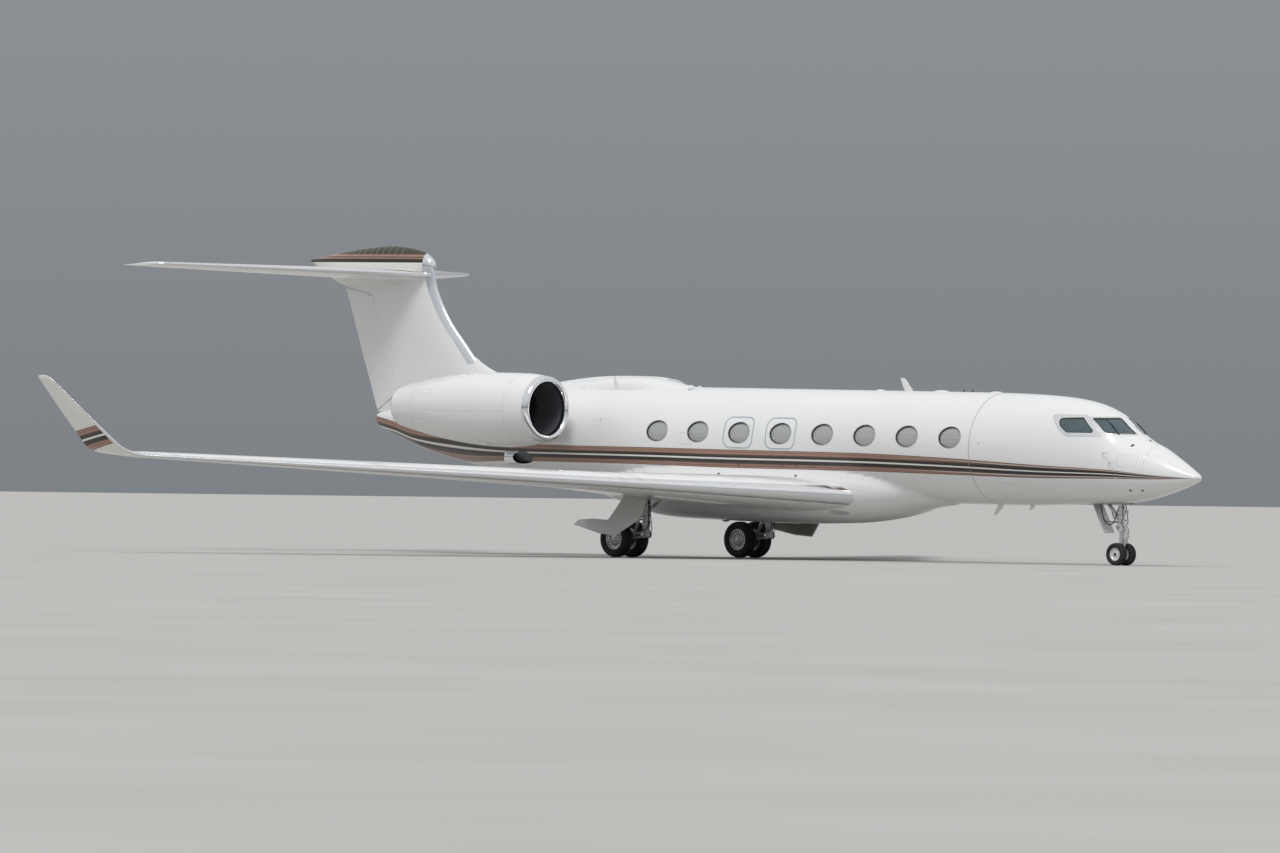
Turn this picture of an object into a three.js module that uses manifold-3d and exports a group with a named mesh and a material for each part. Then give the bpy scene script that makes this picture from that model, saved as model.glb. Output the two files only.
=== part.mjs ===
// A twin-engined business jet parked on its landing gear, built as separate named pieces.
// Millimetres. +X points to the nose, +Y to port, +Z up. The origin is on the ground, under the
// middle of the whole aircraft. Stations are counted aft from the nose tip, as on a drawing.
import * as THREE from "three";
import { mergeVertices } from "three/addons/utils/BufferGeometryUtils.js";
import Module from "manifold-3d";

const wasm = await Module();
wasm.setup();

// Driving dimensions
const NOSE_X = 15180; // the nose tip's X in the level airframe
const PITCH = THREE.MathUtils.degToRad(0.7); // the airframe sits this much nose down on its gear
const SEAT = 0.5; // gap between two pieces that touch
const SWING = 9; // gap round a piece that moves
const NOSE_STEP = 3; // a control surface's round nose lies this far under its skin
const FINEST = 0.12; // cuts leave no edge much shorter than this
const AROUND = 24; // points round a hull section
const WHEEL_SIDES = 20;
const PIN = { radius: 12, reach: 26, inset: 28 }; // hinge pins, and how far in a low hinge lies

// Hull: station, top, bottom, half width, height of the widest line, squareness
const HULL = [
  [15, 2300, 2200, 55, 2249, 2.0],
  [100, 2350, 2160, 135, 2252, 2.0],
  [300, 2468, 2078, 255, 2262, 2.0],
  [700, 2690, 1942, 450, 2290, 2.0],
  [1200, 2955, 1800, 640, 2340, 2.0],
  [1620, 3125, 1702, 765, 2400, 2.0],
  [2000, 3335, 1645, 862, 2460, 2.0],
  [2360, 3620, 1610, 950, 2520, 2.0],
  [2800, 3840, 1585, 1042, 2590, 2.05],
  [3300, 3985, 1572, 1126, 2650, 2.1],
  [4000, 4085, 1552, 1212, 2715, 2.08],
  [5000, 4140, 1512, 1290, 2780, 2.03],
  [6300, 4163, 1500, 1330, 2810, 2.0],
  [11000, 4163, 1500, 1332, 2820, 2.0],
  [16500, 4160, 1500, 1332, 2820, 2.0],
  [18500, 4150, 1545, 1290, 2840, 2.0],
  [20500, 4090, 1700, 1150, 2900, 2.0],
  [22000, 3985, 1905, 965, 2960, 2.0],
  [23600, 3830, 2165, 722, 3030, 2.0],
  [25000, 3660, 2435, 505, 3090, 2.0],
  [26100, 3500, 2780, 300, 3160, 2.0],
  [26750, 3395, 3000, 165, 3210, 2.0],
  [26930, 3330, 3090, 90, 3215, 2.0],
];
const RADOME_END = 1250;
const SKIN = 60; // wall of the flight deck and vestibule
const FLOOR = 1985;
const DECK = { front: 1750, back: 5900 };

// Wing-to-body fairing: station, top, bottom, half width, height of the widest line, squareness
const FAIRING = [
  [7500, 2000, 1480, 300, 1760, 2.0],
  [8400, 2250, 1335, 900, 1800, 2.1],
  [9150, 2380, 1150, 1190, 1790, 2.2],
  [10250, 2440, 993, 1370, 1760, 2.4],
  [11500, 2460, 927, 1450, 1740, 2.5],
  [12850, 2460, 908, 1470, 1730, 2.5],
  [14800, 2440, 932, 1460, 1740, 2.5],
  [16400, 2400, 972, 1400, 1760, 2.4],
  [17300, 2330, 1090, 1230, 1780, 2.2],
  [18300, 2250, 1330, 880, 1820, 2.1],
  [19300, 2150, 1560, 380, 1880, 2.0],
];

// Fairing over the crown, and the ridge that runs from it into the fin, with the same columns
const CROWN = [
  [16050, 4120, 3900, 150, 4050, 2.2],
  [16300, 4185, 3900, 330, 4050, 2.2],
  [16820, 4292, 3900, 440, 4050, 2.2],
  [17560, 4374, 3900, 490, 4050, 2.2],
  [18400, 4372, 3900, 490, 4050, 2.2],
  [19250, 4308, 3900, 430, 4050, 2.2],
  [20100, 4225, 3850, 330, 4000, 2.2],
];
const RIDGE = [
  [20110, 4205, 3800, 160, 4000, 2.0],
  [20800, 4215, 3800, 160, 4000, 2.0],
  [21300, 4258, 3800, 150, 4000, 2.0],
  [22100, 4318, 3750, 145, 4000, 2.0],
  [22500, 4375, 3730, 142, 4000, 2.0],
  [22900, 4480, 3700, 138, 4000, 2.0],
  [23250, 4640, 3680, 132, 4000, 2.0],
  [23600, 4830, 3650, 128, 4000, 2.0],
  [24400, 4900, 3600, 120, 4000, 2.0],
];

// Lifting surfaces: span, leading edge's station, chord, its height, thickness share, twist, tilt
const WING = [
  [1000, 9436, 7500, 1611, 0.115, 1.5, 0],
  [1400, 9785, 7210, 1630, 0.114, 1.5, 0],
  [5300, 13190, 4310, 1818, 0.105, 0.5, 0],
  [13760, 20576, 1500, 2226, 0.1, -1.6, 0],
];
const WINGLET = [
  [13760.4, 20576, 1500, 2226, 0.1, -1.6, 0],
  [14120, 20900, 1370, 2256, 0.098, -1.0, 14],
  [14380, 21180, 1240, 2390, 0.095, 0, 42],
  [14560, 21500, 1080, 2680, 0.09, 0, 62],
  [15175, 22960, 410, 4050, 0.08, 0, 66],
  [15180, 23080, 260, 4092, 0.05, 0, 66],
];
const TAILPLANE = [
  [0, 25036, 3250, 6866, 0.092, 1.0, 0],
  [300, 25259, 3160, 6873, 0.09, 1.0, 0],
  [5540, 29130, 1310, 6989, 0.085, 2.2, 0],
  [5630, 29260, 1205, 6990, 0.04, 2.4, 0],
];
// Fin: height, leading edge's station, chord, thickness share
const FIN = [
  [3400, 22500, 4420, 0.085],
  [4300, 23130, 4145, 0.085],
  [4976, 23725, 3820, 0.088],
  [5718, 24430, 3395, 0.092],
  [6468, 24900, 3225, 0.096],
  [7000, 25040, 3300, 0.096],
];
// Cap on the fin, which the tailplane passes through, with the hull's columns
const CAP = [
  [25020, 7120, 6980, 60, 7050, 2.0],
  [25120, 7272, 6900, 140, 7080, 2.0],
  [25450, 7460, 6800, 195, 7080, 2.0],
  [26340, 7584, 6690, 225, 7060, 2.0],
  [27300, 7540, 6600, 225, 7040, 2.0],
  [28180, 7430, 6585, 180, 7040, 2.0],
  [28900, 7305, 6890, 110, 7120, 2.0],
  [29419, 7225, 7190, 20, 7208, 2.0],
];

// Engines
const ENGINE = { out: 2300, height: 3550, lip: 18800, fan: 19760, exit: 23740 };
// Cowl: station, radius at the top, radius at the bottom
const COWL = [
  [18960, 812, 822],
  [19350, 858, 905],
  [20000, 872, 958],
  [20700, 868, 950],
  [21500, 832, 890],
  [22400, 735, 768],
  [23100, 628, 640],
  [23740, 495, 495],
];
const DUCT = [
  [23740, 465],
  [22400, 630],
  [21000, 655],
  [19600, 655],
  [18960, 632],
];
const LIP_NOSE = 720; // radius of the intake's foremost ring
const FAN = { radius: 638, hub: 190, blades: 14, depth: 150, seat: 170 };

// Control surfaces cut from a lifting surface: span of each end, share of chord at the hinge's
// ends, whether the hinge lies low, near the under skin, and the room left at the inner end of
// one that is cut straight fore and aft there
const FLAPS = [
  { name: "inboard_flap", from: 1600, to: 5080, shares: [0.86, 0.78], low: true, room: 40 },
  { name: "outboard_flap", from: 5420, to: 9700, shares: [0.75, 0.75], low: true },
  { name: "aileron", from: 9780, to: 13450, shares: [0.75, 0.75], low: false },
];
const SPOILER = { from: 5450, to: 9500, front: 0.6, back: 0.7, depth: 26, pin: 7, room: 20 };
const ELEVATOR = { from: 330, to: 5380, shares: [0.7, 0.7], low: false, room: 46 };
const LIPS = { low: 30, share: 0.42, extra: 6 }; // how far ahead of a hinge its slot's lips lie
const RUDDER = { low: [3980, 26000], high: [6330, 27130], reach: 1400, slope: 0.75, room: 42 };

// Landing gear, in the parked frame: X, Y and Z from the ground
const MAIN = { x: -1052, y: 2232, radius: 445, width: 300, apart: 285, rim: 262, axle: 42,
  brake: 165 };
const POST = { x: -340, radius: 92, foot: 560 };
const NOSE = { x: 12800, radius: 265, width: 200, apart: 165, rim: 155, axle: 32, well: 215 };

// Entry door
const DOOR = { front: 4420, back: 5380, sill: 1990, head: 3760, pin: 11 };

const stationX = (station) => NOSE_X - station;

// Geometry helpers
function volumeOf(geometry) {
  const p = geometry.attributes.position;
  const i = geometry.index.array;
  const [a, b, c] = [new THREE.Vector3(), new THREE.Vector3(), new THREE.Vector3()];
  let sum = 0;
  for (let k = 0; k < i.length; k += 3) {
    a.fromBufferAttribute(p, i[k]);
    b.fromBufferAttribute(p, i[k + 1]);
    c.fromBufferAttribute(p, i[k + 2]);
    sum += a.dot(b.cross(c)) / 6;
  }
  return sum;
}

// Turns every triangle round.
function flipped(geometry) {
  const i = geometry.index.array;
  for (let k = 0; k < i.length; k += 3) [i[k + 1], i[k + 2]] = [i[k + 2], i[k + 1]];
  return geometry;
}

// Joins rings of points into a closed skin. Open ends get a fan about the ring's middle, and a
// looped skin runs from the last ring back to the first.
function skin(rings, looped = false) {
  const around = rings[0].length;
  const positions = rings.flat(2);
  const triangles = [];
  const bands = looped ? rings.length : rings.length - 1;
  for (let i = 0; i < bands; i += 1) {
    const next = (i + 1) % rings.length;
    for (let j = 0; j < around; j += 1) {
      const k = (j + 1) % around;
      const [a, b] = [i * around + j, i * around + k];
      const [c, d] = [next * around + k, next * around + j];
      triangles.push(a, b, c, a, c, d);
    }
  }
  if (!looped) {
    [0, rings.length - 1].forEach((end) => {
      const middle = [0, 1, 2].map((n) => rings[end].reduce((s, p) => s + p[n], 0) / around);
      const centre = positions.length / 3;
      positions.push(...middle);
      for (let j = 0; j < around; j += 1) {
        const [a, b] = [end * around + j, end * around + ((j + 1) % around)];
        if (end === 0) triangles.push(b, a, centre);
        else triangles.push(a, b, centre);
      }
    });
  }
  const geometry = new THREE.BufferGeometry();
  geometry.setAttribute("position", new THREE.Float32BufferAttribute(positions, 3));
  geometry.setIndex(triangles);
  return volumeOf(geometry) < 0 ? flipped(geometry) : geometry;
}

// A three.js geometry as a manifold-3d solid.
function solid(source) {
  const geometry = source.clone();
  geometry.deleteAttribute("normal");
  geometry.deleteAttribute("uv");
  const merged = mergeVertices(geometry, 1e-3);
  return new wasm.Manifold(
    new wasm.Mesh({
      numProp: 3,
      vertProperties: merged.attributes.position.array,
      triVerts: new Uint32Array(merged.index.array),
    }),
  );
}

function geometryOf(body) {
  const mesh = body.getMesh();
  const geometry = new THREE.BufferGeometry();
  const stride = mesh.numProp;
  const positions = new Float32Array(mesh.numVert * 3);
  for (let i = 0; i < mesh.numVert; i += 1) {
    positions.set(mesh.vertProperties.subarray(i * stride, i * stride + 3), i * 3);
  }
  geometry.setAttribute("position", new THREE.BufferAttribute(positions, 3));
  geometry.setIndex(new THREE.BufferAttribute(new Uint32Array(mesh.triVerts), 1));
  return geometry;
}

const joined = (...parts) => parts.reduce((sum, part) => sum.add(part));

// The same solid on the other side of the aircraft.
function mirrored(body) {
  return solid(flipped(geometryOf(body).scale(1, -1, 1)));
}

const largest = (body) => body.decompose().reduce((a, b) => (a.volume() > b.volume() ? a : b));

// A box from its lowest to its highest corner.
function block(low, high) {
  const size = high.map((h, n) => h - low[n]);
  const box = new THREE.BoxGeometry(...size);
  return solid(box.translate(...low.map((l, n) => l + size[n] / 2)));
}

// A round bar between two points, with a radius at each.
function bar(from, to, radius, endRadius = radius, sides = 12) {
  const [a, b] = [new THREE.Vector3(...from), new THREE.Vector3(...to)];
  const length = a.distanceTo(b);
  const cylinder = new THREE.CylinderGeometry(endRadius, radius, length, sides);
  const turn = new THREE.Quaternion().setFromUnitVectors(
    new THREE.Vector3(0, 1, 0),
    b.clone().sub(a).normalize(),
  );
  cylinder.applyQuaternion(turn);
  return solid(cylinder.translate(...a.add(b).multiplyScalar(0.5).toArray()));
}

// A flat outline in X and Z, given thickness along Y.
function slab(outline, yLow, yHigh) {
  const shape = new THREE.Shape(outline.map(([x, z]) => new THREE.Vector2(x, z)));
  const plate = new THREE.ExtrudeGeometry(shape, { depth: yHigh - yLow, bevelEnabled: false });
  return solid(plate.rotateX(Math.PI / 2).translate(0, yHigh, 0));
}

// A profile of [radius, distance] points turned about the Y axis.
function turned(profile, sides = 40) {
  return solid(new THREE.LatheGeometry(profile.map(([r, y]) => new THREE.Vector2(r, y)), sides));
}

// Smooth value of each column of a table at a given first column, by Hermite curves.
function tableAt(table, key) {
  const last = table.length - 1;
  let i = 0;
  while (i < last - 1 && table[i + 1][0] <= key) i += 1;
  const span = table[i + 1][0] - table[i][0];
  const t = Math.min(Math.max((key - table[i][0]) / span, 0), 1);
  const slope = (n, column) => {
    const [lo, hi] = [Math.max(n - 1, 0), Math.min(n + 1, last)];
    return (table[hi][column] - table[lo][column]) / (table[hi][0] - table[lo][0]);
  };
  return table[i].map((value, column) => {
    const end = table[i + 1][column];
    const [m0, m1] = [slope(i, column) * span, slope(i + 1, column) * span];
    const [t2, t3] = [t * t, t * t * t];
    return value * (2 * t3 - 3 * t2 + 1) + m0 * (t3 - 2 * t2 + t)
      + end * (3 * t2 - 2 * t3) + m1 * (t3 - t2);
  });
}

// Straight value of each column between the rows of a table.
function rowAt(table, key) {
  let i = 0;
  while (i < table.length - 2 && table[i + 1][0] <= key) i += 1;
  const t = (key - table[i][0]) / (table[i + 1][0] - table[i][0]);
  return table[i].map((value, column) => value + (table[i + 1][column] - value) * t);
}

// One upright ring of a body of the hull's kind, grown outwards by a margin.
function hoop([station, top, bottom, half, waist, square], grow = 0, around = AROUND) {
  return Array.from({ length: around }, (_, j) => {
    const angle = (2 * Math.PI * j) / around;
    const [c, s] = [Math.cos(angle), Math.sin(angle)];
    const [cy, sz] = [c, s].map((v) => Math.sign(v) * Math.abs(v) ** (2 / square));
    const reach = s > 0 ? top + grow - waist : waist - bottom + grow;
    return [stationX(station), (half + grow) * cy, waist + reach * sz];
  });
}

// Stations from a table's first to its last, with extra rings between rows.
function stations(table, between) {
  const keys = [];
  for (let i = 0; i < table.length - 1; i += 1) {
    for (let k = 0; k < between; k += 1) {
      keys.push(table[i][0] + ((table[i + 1][0] - table[i][0]) * k) / between);
    }
  }
  return [...keys, table[table.length - 1][0]];
}

function hull(table, grow = 0, keys = stations(table, 1), around = AROUND) {
  return solid(skin(keys.map((key) => hoop(tableAt(table, key), grow, around))));
}

// Half thickness of a wing section along its chord, as a share of the chord: a round nose that
// runs out to a thin straight tail.
function thicknessAt(share, ratio) {
  const root = 0.2969 * Math.sqrt(share);
  const body = -0.126 * share - 0.3516 * share ** 2 + 0.2843 * share ** 3 - 0.1015 * share ** 4;
  return 5 * ratio * (root + body) + 0.0008 * share;
}

const CHORD_POINTS = [1, 0.86, 0.7, 0.53, 0.36, 0.2, 0.09, 0.025];
const CAMBER = 0.012;

// Where a chord share of a section lies, and its skins: upper 1, lower -1. A grown section stands
// a margin proud of its skins and of both edges.
function surfacePoint(row, share, side, camber, grow = 0) {
  const [span, lead, chord, height, ratio, twist, tilt] = row;
  const lean = THREE.MathUtils.degToRad(tilt);
  const drop = -share * chord * Math.tan(THREE.MathUtils.degToRad(twist));
  const bow = camber * chord * Math.sin(Math.PI * share);
  const rise = drop + bow + side * (thicknessAt(share, ratio) * chord + grow);
  const edge = (share === 0 ? 2 * grow : 0) - (share === 1 ? 2 * grow : 0);
  return [stationX(lead + share * chord) + edge, span - Math.sin(lean) * rise,
    height + Math.cos(lean) * rise];
}

function wingRing(row, camber, grow = 0) {
  const side = (sign) => CHORD_POINTS.map((share) => surfacePoint(row, share, sign, camber, grow));
  return [...side(1), surfacePoint(row, 0, 0, camber, grow), ...side(-1).reverse()];
}

function surface(table, camber, grow = 0) {
  return solid(skin(table.map((row) => wingRing(row, camber, grow))));
}

// A frame on a hinge line: u along the hinge, v aft of it, w across.
function hingeFrame(from, to) {
  const [a, b] = [new THREE.Vector3(...from), new THREE.Vector3(...to)];
  const u = b.clone().sub(a);
  const length = u.length();
  u.normalize();
  const v = new THREE.Vector3(-1, 0, 0);
  v.addScaledVector(u, -v.dot(u)).normalize();
  const w = u.clone().cross(v);
  const stream = -u.x / -v.x; // how far u runs for each step of v, going straight aft
  return { matrix: new THREE.Matrix4().makeBasis(u, v, w).setPosition(a), length, a, b, stream };
}

// The block aft of a hinge, from start to end along it, with ends that may slope along v.
function aftBlock({ matrix }, start, end, front, reach, height, slopes = [0, 0]) {
  const shape = new THREE.Shape([
    new THREE.Vector2(start + slopes[0] * front, front),
    new THREE.Vector2(end + slopes[1] * front, front),
    new THREE.Vector2(end + slopes[1] * reach, reach),
    new THREE.Vector2(start + slopes[0] * reach, reach),
  ]);
  const prism = new THREE.ExtrudeGeometry(shape, { depth: 2 * height, bevelEnabled: false });
  return solid(prism.translate(0, 0, -height).applyMatrix4(matrix));
}

// A drum about a hinge, its radius running from one end's to the other's. One that stands clear
// of another has its flats, not its corners, at the wanted radius.
function noseDrum({ matrix, length }, start, end, radii, grow = 0, sides = 16) {
  const wide = grow > 0 ? 1 / Math.cos(Math.PI / sides) : 1;
  const at = (u) => (radii[0] + ((radii[1] - radii[0]) * u) / length + grow) * wide;
  const drum = new THREE.CylinderGeometry(at(end), at(start), end - start, sides);
  drum.translate(0, (start + end) / 2, 0).rotateZ(-Math.PI / 2);
  return solid(drum.applyMatrix4(matrix));
}

// The pin along a hinge that reaches past both ends of what moves, or the hole for it.
function hingePin(frame, radius, grow = 0) {
  const out = PIN.reach + grow;
  return noseDrum(frame, -out, frame.length + out, [radius, radius], grow, 12);
}

// Splits a surface at a hinge into what stays and what moves. Rooms are the gaps at the hinge's
// two ends and slopes the ends' lean along v, with 0 square to the hinge.
function hingeCut(body, { from, to, radii, lips, rooms, slopes, reach = 2600 }) {
  const frame = hingeFrame(from, to);
  const { length } = frame;
  const height = 900;
  const lean = slopes.map((slope) => (slope === "streamed" ? frame.stream : slope));
  const moving = body.intersect(
    joined(
      aftBlock(frame, SWING, length - rooms[1], 0, reach, height, lean),
      noseDrum(frame, SWING, length - rooms[1], radii),
    ),
  );
  const fixed = body.subtract(
    joined(
      aftBlock(frame, SWING - rooms[0], length, -lips, reach, height, lean),
      noseDrum(frame, SWING - rooms[0], length, radii, SWING),
    ),
  );
  return {
    moving: moving.add(hingePin(frame, PIN.radius)),
    fixed: fixed.subtract(hingePin(frame, PIN.radius, SEAT)),
    hinge: [frame.a, frame.b],
  };
}

const lipsAt = (radii) => LIPS.share * Math.max(...radii) + LIPS.extra;

// Hinge ends and nose radii of a control surface, read off the surface's own table.
function hingeOn(table, { from, to, shares, low, room }, camber) {
  const ends = [from, to].map((span, n) => {
    const row = rowAt(table, span);
    const upper = surfacePoint(row, shares[n], 1, camber);
    const lower = surfacePoint(row, shares[n], -1, camber);
    const rise = low ? PIN.inset : (upper[2] - lower[2]) / 2;
    const point = [lower[0], lower[1], lower[2] + rise];
    return { point, radius: upper[2] - point[2] - NOSE_STEP };
  });
  const radii = ends.map((end) => end.radius);
  return {
    from: ends[0].point,
    to: ends[1].point,
    radii,
    lips: low ? LIPS.low : lipsAt(radii),
    rooms: [room || SWING, SWING],
    slopes: [room ? "streamed" : 0, 0],
  };
}

// Scene: the airframe's group is pitched nose down, the gear's is level
const aircraft = new THREE.Group();
const airframe = new THREE.Group();
airframe.rotation.y = PITCH;
const gear = new THREE.Group();
aircraft.add(airframe, gear);

const finish = (color, roughness, metalness = 0) =>
  new THREE.MeshStandardMaterial({ color, roughness, metalness });
const white = finish(0xf1f0ec, 0.25);
const polished = finish(0xc9ccd1, 0.15, 1);
const darkMetal = finish(0x2b2c2e, 0.4, 0.8);
const stripe = finish(0x3a2a22, 0.3);
const rubber = finish(0x1c1c1d, 0.85);
const alloy = finish(0x9fa2a4, 0.4, 0.8);
const glass = finish(0x55707c, 0.05, 0.1);
const trim = finish(0x6d675e, 0.8);

function place(group, name, body, material, hinge) {
  // a body read back from its mesh has forgotten its cuts, so it simplifies all over
  const mesh = new THREE.Mesh(geometryOf(solid(geometryOf(body)).simplify(FINEST)), material);
  mesh.name = name;
  if (hinge) mesh.userData.hinge = hinge.map((point) => point.toArray());
  group.add(mesh);
}

// Puts a port piece and its mirror image on the aircraft.
function placePair(group, name, body, material, hinge) {
  place(group, `left_${name}`, body, material, hinge);
  const other = hinge && hinge.map((p) => new THREE.Vector3(p.x, -p.y, p.z));
  place(group, `right_${name}`, mirrored(body), material, other);
}

// A block that is level in the parked frame, for a piece of the pitched airframe.
function levelPad(x, y, zLow, zHigh, half) {
  const box = new THREE.BoxGeometry(2 * half, 2 * half, zHigh - zLow);
  box.translate(x, y, (zLow + zHigh) / 2);
  return solid(box.applyMatrix4(new THREE.Matrix4().makeRotationY(-PITCH)));
}

// The hull, its openings, its glass and its door
function buildHull() {
  const keys = stations(HULL, 1);
  const outside = hull(HULL);
  const inside = hull(HULL, -SKIN, keys.filter((key) => key > 600 && key < 24000));
  const reach = 3000;
  const deckBox = block(
    [stationX(DECK.back), -reach, FLOOR],
    [stationX(DECK.front), reach, 5000],
  );
  const deck = inside.intersect(deckBox);
  const openings = cockpitOpenings(0);
  const doorway = doorBlock(0);
  const well = block([stationX(3330), -NOSE.well, 1300], [stationX(2230), NOSE.well, 1925]);
  const pad = levelPad(stationX(4050), 0, 1395, 1700, 60);
  const split = stationX(RADOME_END);
  const ahead = block([split + SEAT / 2, -reach, 0], [NOSE_X + 100, reach, 6000]);
  const behind = block([-NOSE_X, -reach, 0], [split - SEAT / 2, reach, 6000]);
  const groove = doorPin(2 * SEAT);
  const body = joined(outside, pad).subtract(joined(deck, well, doorway, groove, ...openings));
  place(airframe, "radome", outside.intersect(ahead), white);
  place(airframe, "fuselage", body.intersect(behind), white);

  const paneShell = hull(HULL, -6).subtract(hull(HULL, -30));
  const names = ["left_windshield", "right_windshield", "left_side_window", "right_side_window"];
  cockpitOpenings(-SEAT).forEach((opening, n) => {
    place(airframe, names[n], paneShell.intersect(opening), glass);
  });
  buildDoor(outside, inside);
}

// Front panes are cut along X from their front view, side panes along Y from their side view.
function cockpitOpenings(grow) {
  const front = [[130, 3250], [135, 3610], [640, 3597], [705, 3250]];
  const side = [[3603, 3579], [3280, 3252], [2587, 3255], [3007, 3603]];
  const shrink = (outline) => {
    const middle = [0, 1].map((n) => outline.reduce((s, p) => s + p[n], 0) / outline.length);
    return outline.map((p) => p.map((v, n) => v + ((v - middle[n]) * grow) / 120));
  };
  const frontShape = new THREE.Shape(shrink(front).map(([y, z]) => new THREE.Vector2(y, z)));
  const prism = new THREE.ExtrudeGeometry(frontShape, { depth: 1700, bevelEnabled: false });
  prism.rotateX(Math.PI / 2).rotateZ(Math.PI / 2).translate(stationX(3100), 0, 0);
  const left = solid(prism);
  const outline = shrink(side).map(([station, z]) => [stationX(station), z]);
  const leftSide = slab(outline, 600, 1500);
  return [left, mirrored(left), leftSide, mirrored(leftSide)];
}

function doorBlock(gap) {
  return block(
    [stationX(DOOR.back) + gap, 500, DOOR.sill + gap],
    [stationX(DOOR.front) - gap, 1800, DOOR.head - gap],
  );
}

// The door turns on a bar along its sill, just outside the skin.
function doorPin(grow = 0) {
  const [y, z] = [skinY(DOOR.sill) + 6, DOOR.sill];
  const [front, back] = [stationX(DOOR.front) + grow, stationX(DOOR.back) - grow];
  return bar([back, y, z], [front, y, z], DOOR.pin + grow);
}

// The entry door is the hull's own wall, with the stairs on its inner face, hinged at the sill.
function buildDoor(outside, inside) {
  const panel = outside.subtract(inside).intersect(doorBlock(SWING));
  const middle = stationX((DOOR.front + DOOR.back) / 2);
  const steps = [0, 1, 2, 3, 4].map((n) => {
    const z = DOOR.sill + 230 + n * 270;
    const wall = skinY(z) - SKIN;
    return block([middle - 330, wall - 215, z], [middle + 330, wall + 30, z + 35]);
  });
  const rails = [-330, 300].map((side) => {
    const outline = [0, 1, 2, 3, 4, 5, 6].map((n) => {
      const z = DOOR.sill + 60 + n * 225;
      return [skinY(z) - SKIN + 25, z];
    });
    const inner = outline.map(([y, z]) => [y - 145, z]).reverse();
    const shape = new THREE.Shape([...outline, ...inner].map(([y, z]) => new THREE.Vector2(y, z)));
    const plate = new THREE.ExtrudeGeometry(shape, { depth: 30, bevelEnabled: false });
    plate.rotateX(Math.PI / 2).rotateZ(Math.PI / 2);
    return solid(plate.translate(middle + side, 0, 0));
  });
  const axis = skinY(DOOR.sill) + 6;
  const hinge = [DOOR.front, DOOR.back].map(
    (station) => new THREE.Vector3(stationX(station), axis, DOOR.sill),
  );
  place(airframe, "entry_door", joined(panel, doorPin(), ...steps, ...rails), white, hinge);
}

// The hull's half width at a height, at the door.
function skinY(z) {
  const [, top, bottom, half, waist, square] = tableAt(HULL, (DOOR.front + DOOR.back) / 2);
  const rise = z > waist ? (z - waist) / (top - waist) : (waist - z) / (waist - bottom);
  return half * (1 - rise ** square) ** (1 / square);
}

// Floor, seats, console and glareshield of the flight deck, as one piece
function buildFlightDeck() {
  const x = (station) => stationX(station);
  const base = FLOOR + SEAT;
  const floor = block([x(4300), -600, base], [x(2050), 600, base + 30]);
  const console = block([x(3350), -140, base], [x(2150), 140, base + 520]);
  const panel = slab(
    [[x(2480), base], [x(2150), base], [x(2050), base + 760], [x(2150), base + 960],
      [x(2480), base + 960]],
    -540,
    540,
  );
  const seats = [-1, 1].flatMap((side) => {
    const [a, b] = [side * 470 - 230, side * 470 + 230];
    return [
      block([x(3500), a + 90, base], [x(3150), b - 90, base + 330]),
      block([x(3560), a, base + 320], [x(3020), b, base + 450]),
      slab([[x(3480), base + 440], [x(3590), base + 440], [x(3690), base + 1080],
        [x(3580), base + 1080]], a + 20, b - 20),
    ];
  });
  place(airframe, "flight_deck", joined(floor, console, panel, ...seats), trim);
}

// Wings, with their flaps, ailerons, spoilers and jacking pads, and the belly fairing
function buildWings(outsideGrown) {
  let wing = surface(WING, CAMBER).subtract(outsideGrown);
  FLAPS.forEach((flap) => {
    const cut = hingeCut(wing, hingeOn(WING, flap, CAMBER));
    wing = cut.fixed;
    placePair(airframe, flap.name, cut.moving, white, cut.hinge);
  });
  const spoiler = spoilerCut(wing);
  wing = spoiler.fixed;
  placePair(airframe, "spoiler", spoiler.moving, white, spoiler.hinge);
  const pad = levelPad(1050, 3600, 1330, 1700, 60);
  placePair(airframe, "wing", joined(wing, pad), white);
  placePair(airframe, "winglet", surface(WINGLET, CAMBER), white);
}

// The spoiler is a shallow panel of the upper skin, hinged under its front edge.
function spoilerCut(wing) {
  const { from, to, front, back, depth, pin, room } = SPOILER;
  const edge = (span, share) => surfacePoint(rowAt(WING, span), share, 1, CAMBER);
  const under = (span) => edge(span, front).map((v, n) => (n === 2 ? v - depth / 2 : v));
  const frame = hingeFrame(under(from), under(to));
  const local = new THREE.Matrix4().copy(frame.matrix).invert();
  const tail = [from, to].map((s) => new THREE.Vector3(...edge(s, back)).applyMatrix4(local));
  const up = frame.matrix.elements[10] > 0 ? 1 : -1;
  const slope = tail.reduce((sum, p) => sum + (p.z - (up * depth) / 2) / p.y, 0) / 2;
  const tilt = new THREE.Matrix4().makeRotationX(Math.atan(slope));
  const matrix = frame.matrix.clone().multiply(tilt);
  const reach = Math.min(tail[0].y, tail[1].y);
  const cell = (gap, start, end, low) => {
    const box = new THREE.BoxGeometry(frame.length - 2 * gap, end - start, 400);
    box.translate(frame.length / 2, (start + end) / 2, up * (200 - low));
    return solid(box.applyMatrix4(matrix));
  };
  const moving = wing.intersect(cell(SWING, 0, reach - SWING, depth / 2));
  const fixed = wing.subtract(cell(0, -room, reach, depth / 2 + SWING));
  return {
    moving: moving.add(hingePin(frame, pin)),
    fixed: fixed.subtract(hingePin(frame, pin, SEAT)),
    hinge: [frame.a, frame.b],
  };
}

function buildFairing(outsideGrown) {
  const rootFace = WING[0].with(0, WING[0][0] - SEAT);
  const grown = surface([rootFace, ...WING.slice(1)], CAMBER, SEAT);
  const body = hull(FAIRING, 0, stations(FAIRING, 1), AROUND)
    .subtract(outsideGrown)
    .subtract(grown)
    .subtract(mirrored(grown));
  place(airframe, "belly_fairing", largest(body), white);
}

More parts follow.
